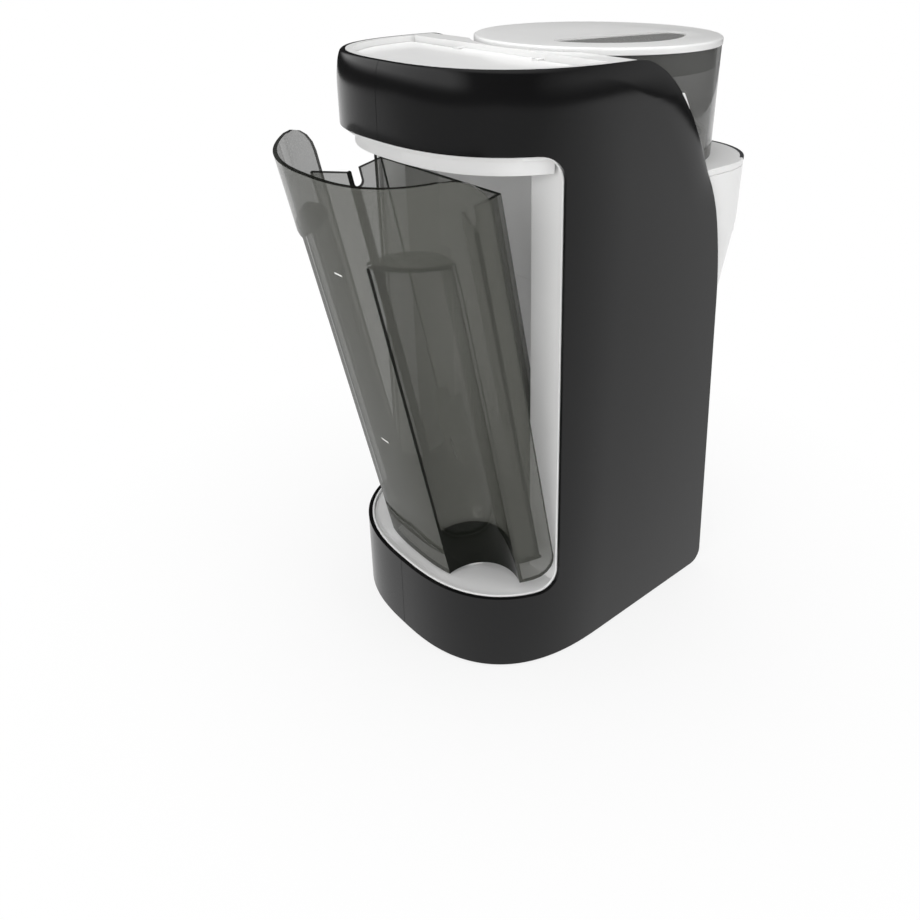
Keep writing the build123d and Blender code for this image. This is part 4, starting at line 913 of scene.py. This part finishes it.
# ---------------------------------------------------------------- water tank
@dataclass
class WaterTank:
    """The smoky tank: outer panel with two grips, chamber walls with notches, bottom plate and valve neck.

    It is drawn as it stands when seated and then leaned back about the pivot.
    """

    plan: NosePlan = NosePlan(87.0, 94.0)
    wall: float = 2.4
    foot_z: float = 53.8
    plate_z: float = 69.3
    chamber_top_z: float = 293.8
    top_z: float = 322.8
    edge_y: float = 45.5
    top_corner: float = 20.0
    low_corner: float = 14.0
    grip: tuple[float, float] = (58.6, 91.7)
    grip_radius: float = 27.6
    grip_top_z: float = 278.8
    inner_y: float = 17.0
    chamber_half: float = 54.0
    shoulder_y: float = 42.0
    shoulder_end: tuple[float, float] = (77.2, 52.5)
    notch_y: float = 37.5
    notch_width: float = 6.0
    notch_depth: float = 8.0
    valve: tuple[float, float] = (-22.0, 55.0)
    neck_radius: float = 7.0
    pipe_radius: float = 4.5
    bore_radius: float = 3.4
    pipe_top_z: float = 91.3
    pivot: tuple[float, float] = (90.1, 102.8)
    lean: float = 12.24
    edge_round: float = 0.55
    rear_columns: int = 26
    grip_columns: int = 30
    edge_columns: int = 14
    corner_rows: int = 6
    grip_rows: int = 12
    foot_band: tuple[float, float] = (5.4, 22.0)
    least_edge: float = 0.5
    mark_size: tuple[float, float] = (7.0, 0.8)
    marks: tuple[tuple[str, float, float], ...] = (("high", -4.0, 268.0), ("low", -1.0, 152.0))

    def leaned(self, points: np.ndarray) -> np.ndarray:
        """Turn points of the seated tank back by the lean about the pivot, which is a line along X.

        Args:
            points: One row of x, y, z for each point.

        Returns:
            The turned points.
        """
        sine, cosine = math.sin(math.radians(self.lean)), math.cos(math.radians(self.lean))
        y, z = points[:, 1] - self.pivot[0], points[:, 2] - self.pivot[1]
        return np.column_stack([points[:, 0], self.pivot[0] + y * cosine + z * sine,
                                self.pivot[1] - y * sine + z * cosine])

    def edge_at(self, z: np.ndarray) -> np.ndarray:
        """Depth y of the panel's upright edge at heights, rounded back at its two corners."""
        high = np.clip(self.top_corner - (self.top_z - z), 0.0, self.top_corner)
        low = np.clip(self.low_corner - (z - self.foot_z), 0.0, self.low_corner)
        return (self.edge_y + self.top_corner - np.sqrt(self.top_corner ** 2 - high ** 2)
                + self.low_corner - np.sqrt(self.low_corner ** 2 - low ** 2))

    def grip_span(self) -> tuple[float, float]:
        """Lengths along the plan at which the grip's circle enters and leaves it."""
        points, along = self.plan.outline()
        inside = along[np.hypot(*(points - self.grip).T) < self.grip_radius]
        return float(inside[0]), float(inside[-1])

    def hollow(self, count: int, radius: float) -> np.ndarray:
        """The grip's arc inside the plan: grip + radius * (cos a, sin a), a going from end to end.

        Args:
            count: How many points it has.
            radius: Its radius, which is larger than the grip's for the wall's middle.

        Returns:
            Points (x, y) from its rear end to its front end.
        """
        tips = self.plan.at(np.array(self.grip_span()))
        ends = tips - self.grip
        low, high = np.unwrap(np.arctan2(ends[:, 1], ends[:, 0]) % (2 * np.pi))
        turn = np.linspace(low, high, count)
        arc = np.column_stack([self.grip[0] + radius * np.cos(turn), self.grip[1] + radius * np.sin(turn)])
        if radius == self.grip_radius:
            arc[[0, -1]] = tips
        return arc

    def panel(self) -> bpy.types.Object:
        """The curved outer panel.

        Its columns run from the rear centre line to the grip, across it and on to the edge. Below the
        grip's top the middle ones follow the grip's arc, above it they follow the plan, and the row between
        the two at one height is the grip's ceiling.

        Returns:
            The panel with its wall; rims, corners, grips' ceilings and feet in the edge finish: painted shade.
        """
        enters, leaves = self.grip_span()
        band_low, band_high = self.foot_band
        low_rows = np.concatenate([self.foot_z + rounding(self.low_corner, self.corner_rows),
                                   [self.plate_z + band_low],
                                   np.linspace(self.plate_z + band_high, self.grip_top_z, self.grip_rows)])
        high_rows = np.concatenate([[self.grip_top_z, (self.grip_top_z + self.top_z - self.top_corner) / 2],
                                    (self.top_z - rounding(self.top_corner, self.corner_rows))[::-1]])
        first, last = self.rear_columns - 1, self.rear_columns + self.grip_columns - 2
        arc = self.hollow(self.grip_columns, self.grip_radius)
        layers = []
        for z, cut in [(z, True) for z in low_rows] + [(z, False) for z in high_rows]:
            end = float(self.plan.length_at(self.edge_at(np.array([z])))[0])
            leave = min(leaves, end - self.least_edge)
            lengths = np.concatenate([np.linspace(0.0, enters, self.rear_columns)[:-1],
                                      np.linspace(enters, leave, self.grip_columns),
                                      np.linspace(leave, end, self.edge_columns)[1:]])
            flat = self.plan.at(lengths)
            if cut:
                flat[first:last + 1] = arc
            layers.append(both_sides(at_height(flat, z)))
        rows = np.stack(layers)
        middle = (rows.shape[1] - 1) // 2
        grips = [*range(middle + first, middle + last), *range(middle - last, middle - first)]
        cusps = [middle + first, middle + last - 1, middle - first - 1, middle - last]
        # Faces in the near-black edge finish: painted shade on the grips' ceilings, ends and feet.
        dark = np.zeros((rows.shape[0] - 1, rows.shape[1] - 1), dtype=int)
        dark[len(low_rows) - 1, grips] = 1
        dark[:len(low_rows) - 1, cusps] = 1
        dark[:self.corner_rows + 1, grips] = 1
        piece = new_mesh("tank_panel", self.leaned(rows.reshape(-1, 3)), grid_faces(*rows.shape[:2]), dark)
        face_out(piece, (0.0, 40.0))
        thicken(piece, self.wall, rim_index=1)
        dress(piece, TANK_SMOKE, "tank", "tank_smoke", "water_tank", edges=TANK_EDGE_SHADE)
        settle(piece)
        return piece

    def chamber_path(self) -> np.ndarray:
        """Plan of the chamber's flat walls from the left shoulder's end round the inside to the right's."""
        half, inner = self.chamber_half, self.inner_y
        right = [(half, inner), (half, self.shoulder_y), self.shoulder_end]
        return np.array([(-x, y) for x, y in right[::-1]] + right)

    def chamber(self) -> bpy.types.Object:
        """The chamber's flat walls, each one face, with a notch in the top of either side wall.

        A notch goes straight down by notch_depth and ends in the half circle of its width. The side wall is
        parted at the notch's lowest point, and its outer strip is as dense and dark as a rim: painted shade.

        Returns:
            The walls; rims, corners and outer strips in the near-black edge finish: painted shade.
        """
        low, high = self.plate_z, self.chamber_top_z
        path = self.chamber_path()
        walls = [[(*a, low), (*b, low), (*b, high), (*a, high)] for a, b in zip(path[::2], path[1::2])]
        radius = self.notch_width / 2
        turn = np.radians(np.linspace(0.0, 90.0, 7))
        floor = high - self.notch_depth - radius * np.sin(turn)
        out = radius * np.cos(turn)
        for x in (-self.chamber_half, self.chamber_half):
            inner = [(x, self.inner_y, low), (x, self.notch_y, low), *((x, self.notch_y - o, z) for o, z in
                     zip(out[::-1], floor[::-1])), (x, self.notch_y - radius, high), (x, self.inner_y, high)]
            outer = [(x, self.notch_y, low), (x, self.shoulder_y, low), (x, self.shoulder_y, high),
                     (x, self.notch_y + radius, high), *((x, self.notch_y + o, z) for o, z in zip(out, floor))]
            walls += [inner, outer]
        starts = np.cumsum([0, *(len(wall) for wall in walls)])
        faces = [list(range(a, b)) for a, b in zip(starts[:-1], starts[1:])]
        # The outer strips of the two side walls take the near-black edge finish: painted shade.
        dark = [0] * (len(walls) - 4) + [0, 1, 0, 1]
        points = np.concatenate([np.array(wall) for wall in walls])
        piece = new_mesh("tank_chamber", self.leaned(points), faces, dark)
        face_out(piece, (0.0, 60.0))
        # Rims and rounded edges take the near-black edge finish too: painted shade along the edges.
        thicken(piece, self.wall, rim_index=1)
        soften(piece, self.edge_round, WALL_TURN, 1, False)
        dress(piece, TANK_SMOKE, "tank", "tank_smoke", edges=TANK_EDGE_SHADE)
        settle(piece)
        return piece

    def plate(self) -> bpy.types.Object:
        """The chamber's bottom plate, one flat face cut by the grips and given the wall's thickness."""
        enters, leaves = self.grip_span()
        steps = 20
        inset = np.full(steps, self.wall / 2)
        shoulder = float(self.plan.length_at(self.shoulder_end[1]))
        front = self.plan.moved_in(np.linspace(shoulder, leaves, steps), inset)
        rear = self.plan.moved_in(np.linspace(enters, 0.0, steps), inset)
        arc = self.hollow(24, self.grip_radius + self.wall / 2)[::-1]
        right = np.concatenate([front, arc[1:-1], rear])
        loop = np.concatenate([self.chamber_path(), right, (right * (-1, 1))[-2::-1]])
        piece = new_mesh("tank_plate", self.leaned(at_height(loop, self.plate_z)), [list(range(len(loop)))])
        raise_sheet(piece, self.wall)
        soften(piece, 0.0)
        # The whole plate takes the near-black edge finish: painted shade under the grips.
        return dress(piece, TANK_EDGE_SHADE, "tank", "tank_smoke")

    def neck(self) -> bpy.types.Object:
        """The valve's neck under the plate and the pipe that stands on it, bored through."""
        low, mouth = self.foot_z + 2.0, self.bore_radius + 1.2
        profile = [(mouth, low), (self.neck_radius, low), (self.neck_radius, self.plate_z),
                   (self.pipe_radius, self.plate_z + self.wall), (self.pipe_radius, self.pipe_top_z),
                   (self.bore_radius, self.pipe_top_z), (self.bore_radius, self.plate_z - 2.0),
                   (mouth, self.plate_z - 2.0)]
        piece = lathe("tank_neck", profile, self.valve, 40)
        spots = np.array([v.co for v in piece.data.vertices]) / MM
        piece.data.vertices.foreach_set("co", (self.leaned(spots) * MM).ravel())
        # Its rounded edges take the near-black edge finish: painted shade along the edges.
        soften(piece, 0.3, edge_index=1)
        return dress(piece, TANK_SMOKE, "tank", "tank_smoke", edges=TANK_EDGE_SHADE)

    def mark(self, name: str, along: float, z: float) -> bpy.types.Object:
        """A plain printed level line on the panel.

        Args:
            name: The mark's name.
            along: Length from the rear centre line to its middle, towards +X.
            z: Its height.

        Returns:
            A thin raised strip that follows the panel.
        """
        steps, lift, depth = 9, 0.12, 0.1
        width, height = self.mark_size
        lengths = along + np.linspace(-width / 2, width / 2, steps)
        flat = self.plan.moved_in(np.abs(lengths), np.full(steps, -lift))
        flat = flat * np.column_stack([np.sign(lengths), np.ones(steps)])
        rows = [at_height(flat, level) for level in (z - height / 2, z + height / 2)]
        piece = new_mesh(name, self.leaned(np.concatenate(rows)), grid_faces(2, steps))
        face_out(piece)
        thicken(piece, depth)
        return dress(piece, PRINT_WHITE, "tank", "seal_white")

    def make(self) -> None:
        """Build the tank's pieces."""
        self.panel()
        self.chamber()
        self.plate()
        self.neck()
        for level, along, z in self.marks:
            self.mark(f"tank_{level}_line", along, z)


# ---------------------------------------------------------------- sub-assemblies on their nodes
def table(**rows: Finish | tuple[Finish, float]) -> dict:
    """A dataclass field that holds these rows, one for each node."""
    return field(default_factory=lambda: dict(rows))


@dataclass
class Assembly:
    """Pieces whose shape comes from their nodes: some are rounded copies, others keep their mesh."""

    rounded: Rounded = table()
    plain: Painted = table()

    def make(self) -> None:
        """Round or paint each piece."""
        for node, (finish, bevel) in self.rounded.items():
            refine(node, finish, bevel)
        for node, finish in self.plain.items():
            paint(node, finish)
            LOG.info("%s: painted %s", node, finish.name)


@dataclass
class TankBay(Assembly):
    """The white bay that the tank stands in, the tank's float and the valve that it sits on."""

    # tank_float takes the dark deck grey in place of white: painted shade, so that no highlight on it shows
    # through the cage.
    rounded: Rounded = table(
        bay_floor=(LINER_WHITE, 0.5), bay_wall=(LINER_WHITE, 0.8), bay_ceiling=(LINER_WHITE, 0.5),
        valve_socket=(LINER_WHITE, 0.3), float_cage=(TANK_SMOKE, 0.3), tank_float=(DECK_GREY, 0.5))
    plain: Painted = table(
        socket_seal=RUBBER_DARK, valve_spring=TURNED_STEEL, valve_plunger=GEAR_WHITE)


@dataclass
class TopDeck(Assembly):
    """The white deck on the head, and the lid over the water-fill opening."""

    rounded: Rounded = table(top_deck=(SHELL_WHITE, 0.7), water_lid=(SHELL_WHITE, 0.5))
    plain: Painted = table(lid_hinge_pin=TURNED_STEEL)


@dataclass
class PowderHopper(Assembly):
    """The smoky powder container with its lid, seal, wheel and drive."""

    rounded: Rounded = table(
        container_well=(LINER_WHITE, 0.4), powder_lid=(SHELL_WHITE, 0.5), lid_window=(WINDOW_SMOKE, 0.3),
        lid_seal=(RUBBER_DARK, 0.6), powder_wheel=(GEAR_WHITE, 0.5))
    plain: Painted = table(
        shaft_bush=BRASS, drive_shaft=TURNED_STEEL, drive_gear=GEAR_WHITE, motor=MOTOR_METAL,
        motor_bracket=LINER_WHITE, motor_shaft=TURNED_STEEL, motor_pinion=GEAR_WHITE)
    center_y: float = -66.0
    radius: float = 74.6
    wall: float = 2.2
    low_z: float = 301.3
    top_z: float = 366.0
    rim_round: float = 0.8
    shaft_hole: float = 5.0
    outlet: tuple[float, float] = (-114.0, 9.0)
    well_radius: float = 76.1
    well_half: float = 84.0
    well_rear_y: float = -4.2
    shoulder_z: tuple[float, float] = (347.5, 357.3)
    brow_gap: float = 6.0
    brow_skip: int = 8
    columns: int = 192

    def brow(self, low_z: float, high_z: float) -> np.ndarray:
        """The casing's front edge in side view, moved back along its normal by brow_gap.

        Args:
            low_z: Height at which the line starts.
            high_z: Height at which it ends.

        Returns:
            Points (y, z) of the line, from the lowest to the highest.
        """
        z, y = Casing().front_edge()
        keep = np.append(True, np.diff(z) > 1e-6)
        z, y = z[keep], y[keep]
        ahead = np.column_stack([np.gradient(y), np.gradient(z)])
        ahead /= np.linalg.norm(ahead, axis=1)[:, None]
        back = np.column_stack([y + self.brow_gap * ahead[:, 1], z - self.brow_gap * ahead[:, 0]])
        inside = back[(back[:, 1] > low_z) & (back[:, 1] < high_z)]
        ends = [(float(np.interp(level, back[:, 1], back[:, 0])), level) for level in (low_z, high_z)]
        return np.concatenate([[ends[0]], inside[::self.brow_skip], [ends[1]]])

    def shoulders(self) -> None:
        """The two shoulders that close the head between the well round the container and the casings."""
        low, high = self.shoulder_z
        over = 5.0
        profile = np.concatenate([self.brow(low, high), [(self.well_rear_y, high), (self.well_rear_y, low)]])
        shoulders = prism("well_shoulders", profile, self.well_half)
        bore = [(0.0, low - over), (self.well_radius, low - over), (self.well_radius, high + over),
                (0.0, high + over)]
        carve(shoulders, lathe("bore_cutter", bore, (0.0, self.center_y)))
        soften(shoulders, 0.5)
        dress(shoulders, LINER_WHITE, "housing", NODE_SLOTS["container_well"])

    def container(self) -> None:
        """The container's wall, turned about its axis, and its floor with holes for the shaft and the powder.

        The wall's section is a box whose outer top corner is rounded in two steps and whose inner one is
        cut off.
        """
        inner, outer, top = self.radius - self.wall, self.radius, self.top_z
        ease, cut = self.rim_round, 0.5
        bend = ease * 0.3
        profile = [(inner, self.low_z), (outer, self.low_z), (outer, top - ease), (outer - bend, top - bend),
                   (outer - ease, top), (inner + cut, top), (inner, top - cut)]
        ring = lathe("container_wall", profile, (0.0, self.center_y), self.columns)
        soften(ring, 0.0)
        dress(ring, CONTAINER_SMOKE, "container", "container_smoke", "powder_container")
        turn = np.linspace(-np.pi / 2, np.pi / 2, self.columns // 2 + 1)
        rim = np.column_stack([inner * np.cos(turn), self.center_y + inner * np.sin(turn)])
        plate = bored_plate("container_floor", rim, [(self.center_y, self.shaft_hole), self.outlet],
                            self.low_z, self.wall)
        soften(plate, 0.3)
        dress(plate, CONTAINER_SMOKE, "container", "container_smoke")

    def make(self) -> None:
        """Build the container and the shoulders beside it and finish the rest."""
        self.container()
        self.shoulders()
        super().make()


@dataclass
class FrontHousing(Assembly):
    """The white housing over the bottle: a tapered shell open to the panel and the funnel, and its deck."""

    rounded: Rounded = table(mixing_funnel=(SHELL_WHITE, 0.6))
    plain: Painted = table(funnel_rails=LINER_WHITE, water_spout=LINER_WHITE)
    half: float = 86.5
    front_y: float = -140.0
    wall_y: float = -60.0
    corner: float = 47.0
    low_z: float = 216.0
    upright_z: float = 262.0
    deck_z: float = 297.0
    top_z: float = 301.0
    taper: float = 6.0
    wall: float = 2.5
    panel_half: float = 46.2
    panel_z: tuple[float, float] = (263.8, 295.2)
    spout_slot: tuple[float, float] = (-99.0, 15.0)
    liner_half: float = 84.0
    liner_y: float = -4.0
    shaft: tuple[float, float] = (-66.0, 6.0)
    outlet: tuple[float, float] = (-114.0, 11.0)
    front_columns: int = 9
    corner_columns: int = 22
    side_columns: int = 7
    taper_rows: int = 8
    trim_columns: int = 24
    trim_width: float = 2.4
    trim_height: float = 1.6
    trim_proud: float = 0.15

    def plan(self, inset: float) -> np.ndarray:
        """Right half of the plan from the front centre to the rear wall, moved in by an inset.

        Along the corner a point is (center + (corner - inset) * sin a, center - (corner - inset) * cos a),
        with one point where the panel's opening ends.

        Args:
            inset: How far the plan comes in.

        Returns:
            Points (x, y) of the plan.
        """
        center = np.array([self.half - self.corner, self.front_y + self.corner])
        panel_turn = math.asin((self.panel_half - center[0]) / self.corner)
        turn = np.concatenate([[0.0], np.linspace(panel_turn, np.pi / 2, self.corner_columns)])
        bend = center + (self.corner - inset) * np.column_stack([np.sin(turn), -np.cos(turn)])
        across = np.linspace(0.0, center[0], self.front_columns)[:-1]
        front = np.column_stack([across, np.full(len(across), self.front_y + inset)])
        back = np.linspace(bend[-1, 1], self.wall_y, self.side_columns)[1:]
        side = np.column_stack([np.full(len(back), self.half - inset), back])
        return np.concatenate([front, bend, side])

    def shell(self) -> None:
        """The housing's outer wall, without the cells of the panel's and the funnel's openings."""
        heights = np.concatenate([np.linspace(self.low_z, self.upright_z, self.taper_rows), self.panel_z,
                                  [self.deck_z]])
        insets = self.taper * np.clip((self.upright_z - heights) / (self.upright_z - self.low_z), 0.0, 1.0)
        layers = [at_height(both_sides(self.plan(inset)), z) for z, inset in zip(heights, insets)]
        columns = len(layers[0])
        keep = np.ones((len(heights) - 1, columns - 1), dtype=bool)
        middle = (columns - 1) // 2
        open_rows = [*range(self.taper_rows - 1), self.taper_rows]
        keep[np.ix_(open_rows, np.arange(middle - self.front_columns, middle + self.front_columns))] = False
        piece = new_mesh("front_housing_shell", np.concatenate(layers), grid_faces(len(heights), columns, keep))
        face_out(piece, (0.0, self.wall_y))
        thicken(piece, self.wall)
        soften(piece, 0.5, WALL_TURN)
        dress(piece, SHELL_WHITE, "housing", "shell_white", "front_housing")

    def plates(self) -> None:
        """The housing's bottom plate, with the spout's slot from the front, and the deck on top."""
        y, radius = self.spout_slot
        turn = np.linspace(0.0, np.pi / 2, 13)
        inset = self.taper + self.wall
        rim = self.plan(inset)
        rim = rim[rim[:, 0] > radius]
        rim = np.concatenate([[(radius, self.front_y + inset)], rim, [(0.0, self.wall_y)]])
        slot = np.column_stack([radius * np.cos(turn), y + radius * np.sin(turn)])
        piece = twin_plate("front_housing_floor", np.concatenate([rim, slot[::-1]]), self.low_z, self.wall)
        soften(piece, 0.3)
        dress(piece, SHELL_WHITE, "housing", "shell_white")
        rim = np.concatenate([self.plan(0.0), [(self.liner_half, self.wall_y), (self.liner_half, self.liner_y),
                                               (0.0, self.liner_y)]])
        deck = bored_plate("container_deck_plate", rim, [self.shaft, self.outlet], self.deck_z,
                           self.top_z - self.deck_z)
        soften(deck, 0.6)
        dress(deck, SHELL_WHITE, "housing", "deck_grey", "container_deck")

    def trim(self) -> None:
        """The dark strip along the front edge of the deck, a little proud of it."""
        proud = self.trim_proud
        rows = [both_sides(self.plan(inset)[:self.trim_columns]) for inset in (-proud, self.trim_width)]
        points = at_height(np.concatenate(rows), self.top_z - self.trim_height)
        piece = new_mesh("deck_front_trim", points, grid_faces(2, len(rows[0])))
        raise_sheet(piece, self.trim_height + proud)
        soften(piece, 0.3)
        dress(piece, DECK_GREY, "housing", "deck_grey")

    def make(self) -> None:
        """Build the shell, its plates and trim, and finish the funnel."""
        self.shell()
        self.plates()
        self.trim()
        super().make()


@dataclass
class ControlPanel(Assembly):
    """The dark panel with its display and buttons."""

    rounded: Rounded = table(control_panel=(PANEL_DARK, 0.4))
    plain: Painted = table(
        display_window=DISPLAY_GLASS, display_board=BOARD_GREEN, button_power=BUTTON_GREY,
        button_temperature=BUTTON_GREY, button_start=BUTTON_GREY, button_amount=BUTTON_GREY,
        button_formula=BUTTON_GREY)


@dataclass
class BottleBay(Assembly):
    """The wall behind the bottle, the front base, the stand and the drip tray with its grille."""

    rounded: Rounded = table(
        front_wall=(SHELL_WHITE, 0.6), front_base=(SHELL_WHITE, 0.8), drip_tray=(SHELL_WHITE, 0.6),
        drip_grille=(STEEL, 0.3), bottle_stand=(SHELL_WHITE, 0.6))


@dataclass
class Works(Assembly):
    """Pump, heater, hoses and board inside the column."""

    plain: Painted = table(
        pump=MOTOR_METAL, heater=STEEL, inlet_hose=HOSE_CLEAR, pressure_hose=HOSE_CLEAR,
        spout_hose=HOSE_CLEAR, main_board=BOARD_GREEN)


@dataclass
class Underside(Assembly):
    """Base pan, feet, screws and the power inlet."""

    rounded: Rounded = table(base_pan=(LINER_WHITE, 0.5), power_inlet=(INLET_BLACK, 0.3))
    plain: Painted = table(rubber_feet=RUBBER_DARK, base_screws=TURNED_STEEL)


# ---------------------------------------------------------------- studio
@dataclass(frozen=True)
class Window:
    """A soft bright patch of the room as gloss shows it: its direction in plan, strength, cone and rise."""

    x: float
    y: float
    strength: float
    cone: tuple[float, float]
    rise: tuple[float, float]


@dataclass
class Studio:
    """Pale floor, white surroundings, soft lamps and the camera."""

    camera_at: Color = (-0.3750, 0.3453, 0.4256)
    looks_at: Color = (0.0, 0.01993, 0.18991)
    lit_at: Color = (0.0, 0.0, 0.18)
    focal_mm: float = 33.64
    sensor_mm: float = 36.0
    shift: tuple[float, float] = (-0.0329, -0.1301)
    floor_reach: float = 3.2
    near_white: float = 0.80
    white_from: float = 0.36
    white_starts: float = 0.12
    floor_tones: tuple[float, float] = (0.80, 0.82)
    front_side: float = 0.35
    front_span: tuple[float, float] = (-1.0, 0.6)
    rear_gloss: float = 0.42
    ambient: float = 0.52
    dim: float = 0.02
    ceiling: float = 0.75
    ceiling_rise: tuple[float, float] = (0.72, 0.95)
    windows: tuple[Window, ...] = (Window(0.66, 0.75, 1.3, (0.45, 0.72), (0.03, 0.16)),
                                   Window(-0.75, -0.66, 0.62, (0.55, 0.95), (-0.04, 0.16)))
    lamps: tuple[tuple[str, Color, tuple[float, float], float], ...] = (
        ("top_softbox", (0.0, 0.1, 1.5), (1.4, 1.4), 13.5),
        ("rear_softbox", (-0.45, 1.6, 0.5), (1.3, 1.0), 15.0),
        ("side_softbox", (-1.6, -0.5, 0.8), (0.8, 1.3), 5.0))

    @staticmethod
    def aim(holder: bpy.types.Object, at: Color, target: Color) -> None:
        """Stand a camera or a lamp at a place and turn it to a target."""
        holder.location = at
        holder.rotation_euler = (Vector(target) - Vector(at)).to_track_quat("-Z", "Y").to_euler()

    def camera(self) -> None:
        """Place the camera."""
        lens = bpy.data.cameras.new("camera")
        lens.lens = self.focal_mm
        lens.sensor_width = self.sensor_mm
        lens.shift_x, lens.shift_y = self.shift
        lens.clip_start = 0.01
        holder = placed("camera", lens)
        self.aim(holder, self.camera_at, self.looks_at)
        bpy.context.scene.camera = holder

    def floor(self) -> None:
        """A floor that is white all round the object and takes its soft shadow close by.

        The share of plain white seen by the camera, in gloss and through glass rises with the distance from
        the middle, from near_white beside the object to 1 at white_from. In gloss the floor's white fades
        to rear_gloss towards the back, along front_side * x - y.
        """
        reach = self.floor_reach / MM
        corners = np.array([(-reach, -reach, 0), (reach, -reach, 0), (reach, reach, 0), (-reach, reach, 0)])
        piece = new_mesh("studio_floor", corners, [[0, 1, 2, 3]])
        graph = Graph("studio_floor")
        low, high = self.floor_tones
        tone = graph.blend(graph.noise(300.0), (low,) * 3, (high,) * 3)
        matt = graph.node("ShaderNodeBsdfPrincipled", inputs={"Base Color": tone, "Roughness": 0.9,
                                                              "Specular IOR Level": 0.1})
        front = (self.front_side * graph.part("X") - graph.part("Y")).step(*self.front_span)
        tint = graph.blend(graph.rays("Is Glossy Ray") * (1.0 - front), (1.0,) * 3, (self.rear_gloss,) * 3)
        glow = graph.node("ShaderNodeEmission", inputs={"Color": tint, "Strength": 1.0})
        away = graph.node("ShaderNodeVectorMath", {"operation": "LENGTH"}, {0: graph.place()}, output="Value")
        white = self.near_white + (1.0 - self.near_white) * away.step(self.white_starts, self.white_from)
        seen = white * graph.rays("Is Camera Ray", "Is Transmission Ray")
        share = seen.at_least(graph.rays("Is Glossy Ray"))
        mixed = graph.node("ShaderNodeMixShader", inputs={0: share, 1: matt, 2: glow})
        piece.data.materials.append(graph.finish(mixed))

    def world(self) -> None:
        """White to the camera and through glass, a dim room with soft windows in gloss, plain light otherwise.

        A window's brightness in a direction is its strength times how far the direction has come within
        the window's cone, times how far it has risen above the horizon.
        """
        graph = Graph("surroundings", world=True)
        toward = graph.node("ShaderNodeTexCoord", output="Generated")
        axes = {axis: graph.node("ShaderNodeSeparateXYZ", inputs={"Vector": toward}, output=axis)
                for axis in "XYZ"}
        room = self.dim + self.ceiling * axes["Z"].step(*self.ceiling_rise)
        for window in self.windows:
            along = window.x * axes["X"] + window.y * axes["Y"]
            room = room + window.strength * along.step(*window.cone) * axes["Z"].step(*window.rise)
        plain = (1.0, 1.0, 1.0, 1.0)
        ambient, mirrored, white = (
            graph.node("ShaderNodeBackground", inputs={"Color": plain, "Strength": strength})
            for strength in (self.ambient, room, 1.0))
        lit = graph.node("ShaderNodeMixShader",
                         inputs={0: graph.rays("Is Glossy Ray"), 1: ambient, 2: mirrored})
        seen = graph.rays("Is Camera Ray", "Is Transmission Ray")
        shown = graph.node("ShaderNodeMixShader", inputs={0: seen, 1: lit, 2: white})
        bpy.context.scene.world = graph.finish(shown)

    def lamp(self, name: str, at: Color, size: tuple[float, float], watts: float) -> None:
        """An area lamp that faces the object and doesn't show in gloss.

        Args:
            name: The lamp's name.
            at: Where it stands.
            size: Its width and height in metres.
            watts: Its power.
        """
        light = bpy.data.lights.new(name, "AREA")
        light.shape = "RECTANGLE"
        light.size, light.size_y = size
        light.energy = watts
        holder = placed(name, light)
        holder.visible_glossy = False
        self.aim(holder, at, self.lit_at)

    def make(self) -> None:
        """Set up the whole studio."""
        self.camera()
        self.floor()
        self.world()
        for lamp in self.lamps:
            self.lamp(*lamp)
        bpy.context.scene.view_settings.view_transform = "Standard"


def main() -> None:
    """Build every sub-assembly."""
    logging.basicConfig(level=logging.INFO, format="%(name)s: %(message)s")
    for assembly in (Casing(), WaterTank(), TankBay(), TopDeck(), PowderHopper(), FrontHousing(),
                     ControlPanel(), BottleBay(), Works(), Underside(), Studio()):
        LOG.info("%s", type(assembly).__name__)
        assembly.make()


if __name__ == "__main__":
    main()
